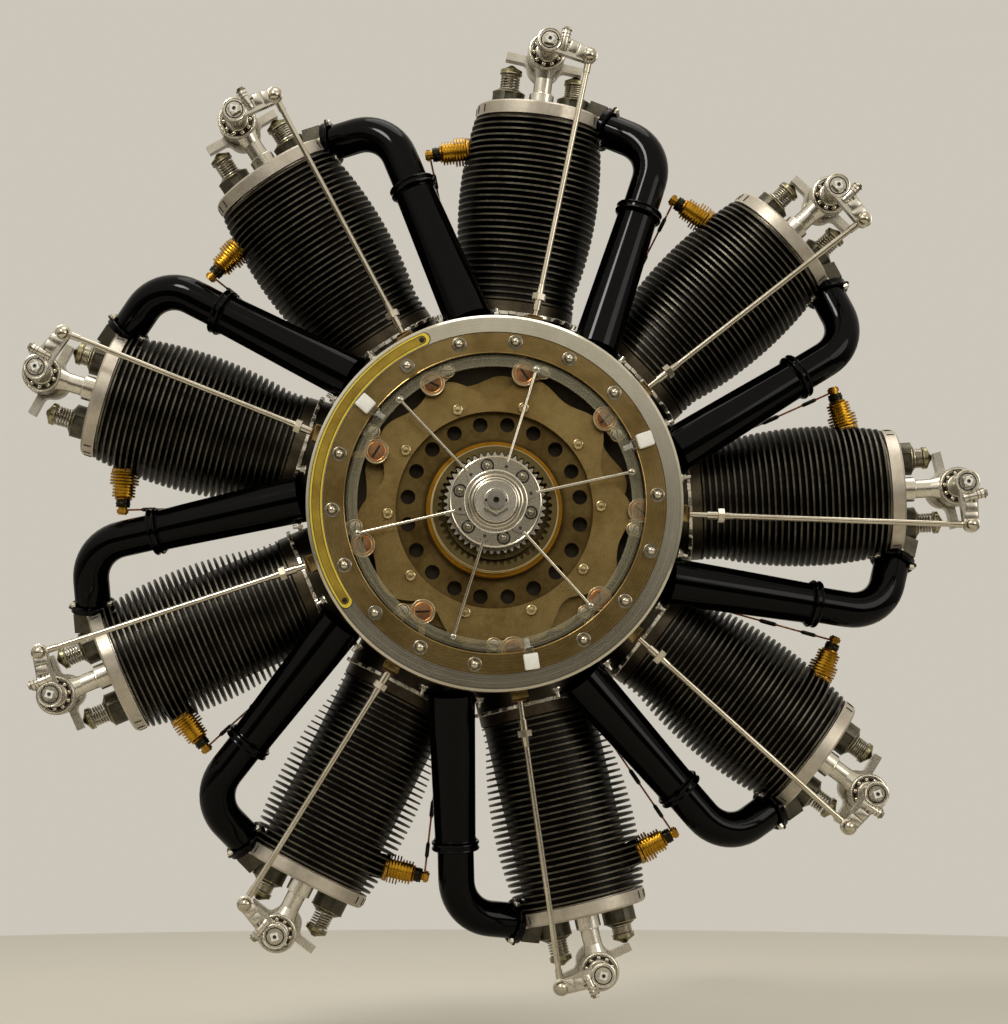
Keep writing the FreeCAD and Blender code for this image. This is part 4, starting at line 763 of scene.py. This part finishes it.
def make_bearings():
    """Ball race in the face of each rocker housing."""
    front = HOUSING_FRONT
    parts = []
    for i in range(10):
        offset = polar(36.0 * i + 9, 14.0)
        parts.append(painted(ball((offset.x, front + 2.4, ROCKER_AT + offset.z), 2.7), "nickel"))
    centre = (0, front + 3.4, ROCKER_AT)
    parts.append(painted(hoop(centre, (0, 1, 0), 14.0, 1.5, 48, 8), "dark_steel"))
    parts.append(painted(hoop((0, front + 0.5, ROCKER_AT), (0, 1, 0), 18.4, 0.9, 48, 8), "bright_steel"))
    parts.append(painted(hoop((0, front + 0.5, ROCKER_AT), (0, 1, 0), 10.9, 0.9, 48, 8), "bright_steel"))
    races = for_each_cylinder(joined(parts))
    hand_over(races, "rocker_bearings", "crankcase")


def make_plug_fittings():
    """Hexagon, ring nuts and knurled terminal of each plug, and the two links in its wire."""
    way = (PLUG_TIP - PLUG_SEAT).normalized()
    parts = []
    hexagon = bar(PLUG_SEAT + way * 0.2, PLUG_SEAT + way * 4.2, 14.2, sides=6)
    parts.append(painted(softened(stepped(hexagon, way, (1.0, 0.4)), 0.3, 1), "plug_trim"))
    parts.append(painted(hoop(PLUG_SEAT + way * 31.0, way, 8.0, 1.1, 32, 8), "plug_trim"))
    parts.append(painted(hoop(PLUG_SEAT + way * 36.0, way, 7.0, 0.9, 32, 8), "dark_steel"))
    knurl = bar(PLUG_TIP - way * 5.2, PLUG_TIP - way * 1.4, 5.6, sides=32)
    pick_faces(knurl, lambda face: abs(face.normal.dot(way)) < 0.5 and face.index % 2 == 0)
    bpy.ops.mesh.inset(thickness=0.0001, depth=0.0005)
    bpy.ops.object.mode_set(mode="OBJECT")
    parts.append(painted(knurl, "plug_trim"))
    terminal = PLUG_TIP - way * 4.7
    line = (CONTACT - terminal).normalized()
    reach = (CONTACT - terminal).length
    for share, length, radius in ((0.09, 13.0, 2.1), (0.27, 15.0, 2.3)):
        start = terminal + line * reach * share
        sleeve = bar(start, start + line * length, radius, sides=16)
        stepped(sleeve, line, (0.5, 0.8), (0.3, 1.2))
        stepped(sleeve, -line, (0.5, 0.8), (0.3, 1.2))
        parts.append(painted(sleeve, "dark_steel"))
        for place in (start - line * 3.2, start + line * (length + 3.2)):
            eye = hoop(place, line.cross(Vector((0, 1, 0))), 2.4, 0.7, 20, 6)
            parts.append(painted(eye, "wire_copper"))
    fittings = for_each_cylinder(joined(parts))
    hand_over(fittings, "plug_fittings", "crankcase")


def make_guide_bushes():
    """Brass collar where each pushrod leaves the case."""
    way = pushrod_way()
    centre = PUSHROD_FOOT + way * ((196.6 - PUSHROD_FOOT.z) / way.z)
    lower = painted(hoop(centre, way, 5.6, 1.5, 32, 8, 0.6), "gasket_copper")
    plate = block((18.0, -311.6, 189.5), (17.4, 16.4, 11.0))
    pick_faces(plate, lambda face: face.normal.y < -0.9)
    bpy.ops.mesh.inset(thickness=0.0016, depth=-0.0006)
    bpy.ops.object.mode_set(mode="OBJECT")
    bushes = for_each_cylinder(joined([lower, painted(softened(plate, 0.7), "clamp_brass")]))
    hand_over(bushes, "guide_bushes", "crankcase")


# Springs: the rocker's pads press them

def pad_bottom(side, tilt):
    turn = math.radians(tilt)
    level = (VALVE_TOP + 0.3 - ROCKER_AT) / math.cos(turn)
    return ROCKER_AT + level - side * VALVE_OUT * math.tan(turn) - 2.0 * math.tan(abs(turn))


def make_spring(side, height):
    """Coil of round wire with its cap, stem and collar, standing on the cage."""
    wire, coil_r, turns = 1.05, 9.2, 5
    coil_height = height - 10.5
    bpy.ops.object.select_all(action="DESELECT")
    bpy.ops.mesh.primitive_circle_add(vertices=10, radius=wire / 1000, fill_type="NGON",
                                      location=(coil_r / 1000, 0, (CAGE_TOP + wire) / 1000),
                                      rotation=(math.pi / 2, 0, 0))
    coil = settle(bpy.context.object)
    screw = coil.modifiers.new("turns", "SCREW")
    screw.screw_offset = (coil_height - 2 * wire) / turns / 1000
    screw.iterations = turns
    screw.steps = screw.render_steps = 22
    screw.use_merge_vertices = False
    choose(coil)
    bpy.ops.object.modifier_apply(modifier=screw.name)
    bpy.ops.object.mode_set(mode="EDIT")
    bpy.ops.mesh.select_all(action="SELECT")
    bpy.ops.mesh.normals_make_consistent(inside=False)
    bpy.ops.object.mode_set(mode="OBJECT")
    parts = [painted(coil, "spring_steel")]
    base = CAGE_TOP + coil_height
    stem = bar((0, 0, CAGE_TOP), (0, 0, base + 1), 3.2, sides=20)
    parts.append(painted(stepped(stem, (0, 0, 1), (0.5, 0.3)), "bright_steel"))
    cap = bar((0, 0, base), (0, 0, base + 4.6), 11.4, sides=36)
    stepped(cap, (0, 0, 1), (0.5, 0.4), (3.2, 1.6), (3.4, 2.0), (2.2, 1.5))
    parts.append(painted(cap, "olive_steel"))
    parts.append(painted(hoop((0, 0, base + 0.8), (0, 0, 1), 11.1, 0.7, 40, 6), "spring_steel"))
    spring = joined(parts)
    spring.location = (side * VALVE_OUT / 1000, CYLINDER_Y / 1000, 0)
    return settle(spring)


def make_springs():
    """Eighteen springs, each as tall as its rocker's rest tilt leaves room for."""
    for k in range(CYLINDERS):
        tilt = REST_TILTS[k]
        for side, word in ((-1, "exhaust"), (1, "inlet")):
            height = min(VALVE_TOP, pad_bottom(side, tilt) - 0.3) - CAGE_TOP
            angle = cylinder_angle(k)
            upright = make_spring(side, height)
            spring = turned_copy(upright, angle)
            bpy.data.objects.remove(upright)
            hand_over(spring, f"{word}_spring_{k + 1}", "crankcase")
            if k == 0 and side == -1:
                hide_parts("valve_springs")
            longer, limit = max((12.0 + tilt, -12.0), (12.0 - tilt, 12.0))
            press = height - min(height, pad_bottom(side, limit) - 0.3 - CAGE_TOP)
            if press < 1.0:
                other = height - min(height, pad_bottom(side, -limit) - 0.3 - CAGE_TOP)
                press = other * longer / max(24.0 - longer, 6.0)
            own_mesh(spring)


# Pieces that move with a rocker, a pushrod or a tappet

def ball_place():
    turn = math.radians(LEVER_DROP)
    return Vector((LEVER_ARM * math.cos(turn), BALL_Y, ROCKER_AT - LEVER_ARM * math.sin(turn)))


def pushrod_way():
    return (ball_place() - PUSHROD_FOOT).normalized()


def make_rocker_trim():
    """Clamp bolt, beaded disc, punched shaft end and button rim of each lever."""
    front = Vector((0, -1, 0))
    for k in range(CYLINDERS):
        parts = []
        bolt = Vector((CLAMP_BOLT_X, CLAMP_BOLT_Y, ROCKER_AT))
        up = Vector((0, 0, 1))
        shank = bar(bolt - up * 8.0, bolt + up * 14.0, 4.3, sides=28)
        parts.append(painted(softened(shank, 0.5, 2), "bright_steel"))
        for rise in (-3.0, 6.0, 9.5):
            parts.append(painted(hoop(bolt + up * rise, up, 4.3, 0.5, 28, 6), "nut_steel"))
        parts.append(hexagon_bolt(bolt + up * 13.6, up, 4.0, 3.2, "nut_steel", "nut_steel"))
        for x, drop, size in ((25.5, 2.6, (8.0, 3.4, 11.0)), (34.2, 5.2, (7.0, 2.6, 13.0))):
            pad = block((x, LEVER_FRONT - 0.2, ROCKER_AT - drop), size, LEVER_DROP)
            parts.append(painted(softened(pad, 0.6, 2), "bright_steel"))
        slot = block((21.5, LEVER_FRONT - 0.2, ROCKER_AT + 0.6), (14.0, 0.8, 1.1), 14.0)
        parts.append(painted(softened(slot, 0.1, 1), "black_enamel"))
        centre = Vector((0, LEVER_FRONT, ROCKER_AT))
        parts.append(painted(hoop(centre, front, 11.7, 1.0, 56, 8), "bright_steel"))
        parts.append(painted(hoop(centre - front * 0.2, front, 8.7, 0.7, 48, 8), "dark_steel"))
        square_end = Vector((0, LEVER_FRONT - 6.0, ROCKER_AT))
        face = block(square_end - front * 0.1, (9.9, 0.7, 9.9), 0.0)
        parts.append(painted(softened(face, 0.25, 1), "bright_steel"))
        diamond = block(square_end + front * 0.3, (7.6, 0.5, 7.6), 40.0)
        parts.append(painted(softened(diamond, 0.2, 1), "nylon"))
        punch = bar(square_end, square_end + front * 1.1, 1.9, sides=20)
        parts.append(painted(stepped(punch, front, (0.4, -0.1), (0.5, -0.2)), "black_enamel"))
        end = ball_place()
        parts.append(painted(hoop(end + front * 5.6, front, 7.6, 1.0, 40, 8), "bright_steel"))
        pearl = ball(end + front * 7.0, 7.0)
        smooth = pearl.modifiers.new("round", "SUBSURF")
        smooth.levels = smooth.render_levels = 1
        choose(pearl)
        bpy.ops.object.modifier_apply(modifier=smooth.name)
        parts.append(painted(pearl, "nickel"))
        back_nut = bar(end - front * 6.0, end - front * 9.6, 6.4, sides=6)
        parts.append(painted(stepped(back_nut, -front, (0.9, 0.5)), "bright_steel"))
        trim = tilted(joined(parts), 0, ROCKER_AT, REST_TILTS[k])
        turned = turned_copy(trim, cylinder_angle(k))
        bpy.data.objects.remove(trim)
        hand_over(turned, f"rocker_trim_{k + 1}", f"rocker_{k + 1}")


def rod_travel(tilt):
    return LEVER_ARM * math.cos(math.radians(LEVER_DROP)) * math.radians(tilt)


def make_pushrod_nuts():
    """Hexagon lock nut and ferrule of each pushrod."""
    way = pushrod_way()
    nut_home = PUSHROD_FOOT + way * ((218.0 - PUSHROD_FOOT.z) / way.z)
    for k in range(CYLINDERS):
        nut_low = nut_home - way * rod_travel(REST_TILTS[k])
        nut = bar(nut_low - way * 0.1, nut_low + way * 6.2, 7.2, sides=6)
        stepped(nut, way, (0.8, 0.4))
        stepped(nut, -way, (0.8, 0.4))
        ferrule = bar(nut_low + way * 6.0, nut_low + way * 16.0, 3.9, 3.1, sides=24)
        stepped(ferrule, way, (0.2, 0.2))
        upright = joined([painted(nut, "nickel"), painted(ferrule, "nickel")])
        turned = turned_copy(upright, cylinder_angle(k))
        bpy.data.objects.remove(upright)
        hand_over(turned, f"pushrod_nut_{k + 1}", f"pushrod_{k + 1}")


def make_tappet_faces():
    """Slotted pin in the middle of each tappet's roller."""
    pivot = polar(*TAPPET_PIVOT)
    roller = polar(*ROLLER_AT)
    front = roller + Vector((0, ROLLER_FRONT, 0))
    arm = (pivot - roller).length
    for k in range(CYLINDERS):
        pin = slotted_screw(front, 8.2, 0.8, 60 + 23 * k, "worn_copper", "dark_steel")
        edge = painted(hoop(front, (0, 1, 0), 9.0, 0.7, 48, 8), "orange_copper")
        rim = painted(hoop(front + Vector((0, 0.1, 0)), (0, 1, 0), 11.9, 0.6, 48, 8), "tappet_copper")
        face = joined([pin, edge, rim])
        swing = -math.degrees(rod_travel(REST_TILTS[k]) / arm)
        tilted(face, pivot.x, pivot.z, swing)
        turned = turned_copy(face, cylinder_angle(k))
        bpy.data.objects.remove(face)
        hand_over(turned, f"tappet_face_{k + 1}", f"tappet_{k + 1}")


def make_tappet_screws():
    """Copper washer and slot on each screw that a tappet turns on."""
    place = polar(*TAPPET_PIVOT) + Vector((0, -346.3, 0))
    screw = slotted_screw(place, 5.2, 0.9, 30, "bright_steel")
    edge = painted(hoop(place + Vector((0, 1.0, 0)), (0, 1, 0), 6.6, 0.9, 36, 8), "tappet_copper")
    screws = for_each_cylinder(joined([screw, edge]))
    hand_over(screws, "tappet_screws", "crankcase")


# The front of the case and the hub

def arc_strip(inner, outer, front, back, start, sweep, steps=72):
    """A flat strip bent round the crankshaft's axis, closed at both ends."""
    middle, width = (inner + outer) / 2, outer - inner
    strip = block((0, (front + back) / 2, middle), (0.02, back - front, width))
    strip.rotation_euler = (0, math.radians(start), 0)
    settle(strip)
    way = polar(start + 90, 1.0)
    pick_faces(strip, lambda face: face.normal.dot(way) > 0.9)
    bpy.ops.mesh.spin(steps=steps, angle=math.radians(sweep), center=(0, 0, 0), axis=(0, -1, 0))
    bpy.ops.mesh.select_all(action="SELECT")
    bpy.ops.mesh.remove_doubles(threshold=0.000005)
    bpy.ops.mesh.normals_make_consistent(inside=False)
    bpy.ops.object.mode_set(mode="OBJECT")
    return strip


def make_band():
    """Bare yellow band with a bright border and a darker field on the polished ring."""
    layers = (("black_enamel", 171.4, 184.6, 0.3, 0.0), ("yellow_enamel", 171.9, 184.1, 0.55, 0.2),
              ("black_enamel", 173.7, 182.3, 0.65, 0.8), ("gold_enamel", 174.3, 181.7, 0.8, 1.0))
    parts = []
    for finish, inner, outer, rise, shorter in layers:
        start, sweep = BAND_START + shorter, BAND_SWEEP - 2 * shorter
        strip = arc_strip(inner, outer, RIM_FRONT - rise, RIM_FRONT + 0.1, start, sweep)
        parts.append(painted(strip, finish))
        for angle in (start, start + sweep):
            place = polar(angle, (inner + outer) / 2)
            low = place + Vector((0, RIM_FRONT + 0.1, 0))
            high = place + Vector((0, RIM_FRONT - rise + 0.05, 0))
            end = bar(low, high, (outer - inner) / 2, sides=40)
            parts.append(painted(end, finish))
    for angle in (BAND_START + 0.8, BAND_START + BAND_SWEEP - 0.8):
        place = polar(angle, 178.0, RIM_FRONT - 0.8)
        parts.append(slotted_screw(place, 2.6, 0.8, 40, "dark_steel", "black_enamel"))
    hand_over(joined(parts), "plain_band", "crankcase")


def make_case_trim():
    """Gasket behind the polished ring, washers under the clamp's nuts and the pane's bead."""
    parts = [painted(hoop((0, CASE_SPLIT + 0.4, 0), (0, 1, 0), 187.3, 1.0, 160, 8), "gasket_copper")]
    parts.append(painted(hoop((0, CLAMP_FRONT + 0.2, 0), (0, 1, 0), 150.6, 0.7, 160, 8), "clamp_brass"))
    for i in range(18):
        place = polar(STUD_ANGLE + 20.0 * i, STUD_CIRCLE_R, CLAMP_FRONT)
        if i in NYLON_STUDS:
            continue
        washer = bar(place + Vector((0, 0.2, 0)), place - Vector((0, 0.9, 0)), 7.3, sides=28)
        parts.append(painted(stepped(washer, (0, -1, 0), (0.5, 0.3)), "nut_steel"))
        rise = 6.0 if i in LOW_STUDS else 3.9
        parts.append(painted(ball(place - Vector((0, rise, 0)), 4.4), "nickel"))
    hand_over(joined(parts), "case_trim", "crankcase")


def make_nylon_screws():
    """White screws that hold the clear pane, each with its clear stud."""
    parts = []
    for i in NYLON_STUDS:
        angle = STUD_ANGLE + 20.0 * i
        place = polar(angle, STUD_CIRCLE_R, CLAMP_FRONT)
        head = block(place - Vector((0, 4.9, 0)), (14.6, 9.8, 16.0), angle + 4.0)
        parts.append(painted(softened(head, 1.4, 3), "nylon"))
        tab_place = polar(angle, STUD_CIRCLE_R - 10.5, CLAMP_FRONT - 3.4)
        tab = block(tab_place, (9.0, 6.2, 9.0), angle)
        parts.append(painted(softened(tab, 0.8, 2), "clear_knob"))
        inner = polar(angle, STUD_CIRCLE_R - 23.0, CLAMP_FRONT - 3.5)
        outer = polar(angle, STUD_CIRCLE_R - 14.0, CLAMP_FRONT - 3.5)
        stud = bar(outer, inner, 2.6, sides=20)
        parts.append(painted(stepped(stud, inner - outer, (0.5, 0.5)), "clear_knob"))
    hand_over(joined(parts), "nylon_screws", "crankcase")


def make_cam_bolts():
    """Domed heads of the ten bolts through the front cam."""
    parts = []
    for i in range(10):
        place = polar(15.8 + 36.0 * i, CAM_BOLT_CIRCLE_R, CAM_BOLT_FRONT) + Vector((0, 0, CAM_CENTRE_Z))
        head = bar(place + Vector((0, 1.0, 0)), place - Vector((0, 0.6, 0)), 5.6, sides=32)
        stepped(head, (0, -1, 0), (0.5, 0.5), (1.0, 0.5), (1.3, -0.2), (1.0, 0.3))
        parts.append(painted(head, "bolt_brass"))
    hand_over(joined(parts), "cam_bolts", "cams")


def make_hub_trim():
    """Beads, bearing rings, dark sockets of the bolts and the rods' small holes."""
    parts = [
        painted(hoop((0, HUB_FRONT + 0.2, 0), (0, 1, 0), 44.9, 1.1, 96, 8), "nickel"),
        painted(hoop((0, EAR_FRONT - 0.1, 0), (0, 1, 0), 26.4, 1.3, 80, 8), "nickel"),
        painted(hoop((0, EAR_FRONT - 0.1, 0), (0, 1, 0), 23.2, 1.2, 80, 8), "bright_steel"),
        painted(hoop((0, EAR_FRONT + 0.2, 0), (0, 1, 0), 30.9, 0.9, 80, 8), "bright_steel"),
    ]
    for i in range(6):
        place = polar(HUB_BOLT_ANGLE + 60.0 * i, HUB_BOLT_CIRCLE_R, HUB_FRONT)
        parts.append(painted(hoop(place, (0, 1, 0), 6.0, 0.9, 36, 8), "dark_steel"))
        hole = polar(17.2 + 60.0 * i, 36.0, EAR_FRONT)
        socket = bar(hole + Vector((0, 0.3, 0)), hole - Vector((0, 0.25, 0)), 1.7, sides=16)
        parts.append(painted(stepped(socket, (0, -1, 0), (0.3, -0.1)), "black_enamel"))
        eye = polar(17.2 + 60.0 * i, 139.5, -359.0)
        rivet = bar(eye, eye - Vector((0, 1.4, 0)), 2.6, sides=20)
        parts.append(painted(stepped(rivet, (0, -1, 0), (0.6, 0.4), (0.7, 0.2)), "nickel"))
    hand_over(joined(parts), "hub_trim", "crankcase")
    nose = []
    for side in (-1, 1):
        place = Vector((side * 9.8, -387.0, 0))
        hole = bar(place + Vector((0, 0.3, 0)), place - Vector((0, 0.25, 0)), 1.5, sides=16)
        nose.append(painted(stepped(hole, (0, -1, 0), (0.3, -0.1)), "black_enamel"))
    nose.append(painted(hoop((0, -387.0, 0), (0, 1, 0), 11.6, 0.5, 48, 8), "bright_steel"))
    nose.append(painted(hoop((0, -375.0, 0), (0, 1, 0), 20.7, 0.7, 64, 8), "bright_steel"))
    hand_over(joined(nose), "nose_trim", "mounting")


def set_up_studio():
    """Pale floor, plain soft light and the camera."""
    bpy.ops.object.select_all(action="DESELECT")
    bpy.ops.mesh.primitive_circle_add(vertices=96, radius=2.0, fill_type="NGON", location=(0, 0, -0.56))
    floor = bpy.context.object
    floor.name = "studio_floor"
    floor.data.materials.append(floor_finish())
    scene = bpy.context.scene
    scene.view_settings.view_transform = "Standard"
    scene.world = studio_world()
    lamp("key", (-1.6, -2.6, 2.6), 0.9, 62.0, (1.0, 0.98, 0.94))
    lamp("fill", (2.4, -2.2, 0.8), 1.6, 20.0, (1.0, 0.97, 0.92))
    lamp("top", (0.3, 0.2, 3.0), 2.2, 34.0, (1.0, 0.98, 0.95))
    lens = bpy.data.cameras.new("camera")
    lens.lens = 107.1
    lens.sensor_width = 36.0
    lens.sensor_fit = "AUTO"
    lens.clip_end = 60.0
    camera = bpy.data.objects.new("camera", lens)
    scene.collection.objects.link(camera)
    camera.location = (-0.0995, -3.3729, -0.2432)
    yaw, pitch = 0.0359, 0.0773
    forward = Vector((math.sin(yaw) * math.cos(pitch), math.cos(yaw) * math.cos(pitch), math.sin(pitch)))
    camera.rotation_mode = "QUATERNION"
    camera.rotation_quaternion = forward.to_track_quat("-Z", "Y")
    scene.camera = camera


def lamp(name, place, size, power, colour):
    light = bpy.data.lights.new(name, "AREA")
    light.shape = "DISK"
    light.size = size
    light.energy = power
    light.color = colour
    lamp_object = bpy.data.objects.new(name, light)
    bpy.context.scene.collection.objects.link(lamp_object)
    lamp_object.location = place
    aim = Vector((0.0, -0.2, 0.0)) - Vector(place)
    lamp_object.rotation_mode = "QUATERNION"
    lamp_object.rotation_quaternion = aim.to_track_quat("-Z", "Y")


def floor_finish():
    """Matt pale floor, a little uneven."""
    return plain_finish("studio_floor", (216, 209, 192), (210, 203, 186), 0.7, 0.8, metal=0.0,
                        stain_scale=0.8, marks_scale=40.0, height=0.05)


def studio_world():
    """Warm pale wall for the camera and in reflections, with a darker lower half for gloss."""
    world = bpy.data.worlds.new("studio")
    world.use_nodes = True
    tree = world.node_tree
    light = tree.nodes["Background"]
    light.inputs["Color"].default_value = (1.0, 0.97, 0.92, 1.0)
    light.inputs["Strength"].default_value = 0.42
    seen = add_node(tree, "ShaderNodeBackground")
    seen.inputs["Color"].default_value = linear(203, 197, 185)
    mirrored = add_node(tree, "ShaderNodeBackground")
    direction = add_node(tree, "ShaderNodeTexCoord").outputs["Generated"]
    parts = add_node(tree, "ShaderNodeSeparateXYZ")
    tree.links.new(direction, parts.inputs[0])
    height = spread(tree, parts.outputs["Z"], -0.3, 0.5)
    wall = blended(tree, height, linear(104, 98, 86), linear(232, 226, 212))
    ceiling = spread(tree, parts.outputs["Z"], 0.075, 0.16)
    hall = blended(tree, ceiling, linear(66, 60, 50), linear(250, 244, 232))
    behind = spread(tree, parts.outputs["Y"], -0.8, -0.1)
    tree.links.new(blended(tree, behind, hall, wall), mirrored.inputs["Color"])
    path = add_node(tree, "ShaderNodeLightPath")
    first = add_node(tree, "ShaderNodeMixShader")
    tree.links.new(path.outputs["Is Glossy Ray"], first.inputs["Fac"])
    tree.links.new(light.outputs[0], first.inputs[1])
    tree.links.new(mirrored.outputs[0], first.inputs[2])
    second = add_node(tree, "ShaderNodeMixShader")
    plain = arithmetic(tree, "MAXIMUM", path.outputs["Is Camera Ray"], path.outputs["Is Transmission Ray"])
    tree.links.new(plain, second.inputs["Fac"])
    tree.links.new(first.outputs[0], second.inputs[1])
    tree.links.new(seen.outputs[0], second.inputs[2])
    tree.links.new(second.outputs[0], tree.nodes["World Output"].inputs["Surface"])
    return world


dress_solids()
make_pipe_fittings()
make_cylinder_feet()
make_head_trim()
make_bearings()
make_plug_fittings()
make_guide_bushes()
make_springs()
make_rocker_trim()
make_pushrod_nuts()
make_tappet_faces()
make_tappet_screws()
make_band()
make_case_trim()
make_nylon_screws()
make_cam_bolts()
make_hub_trim()
set_up_studio()
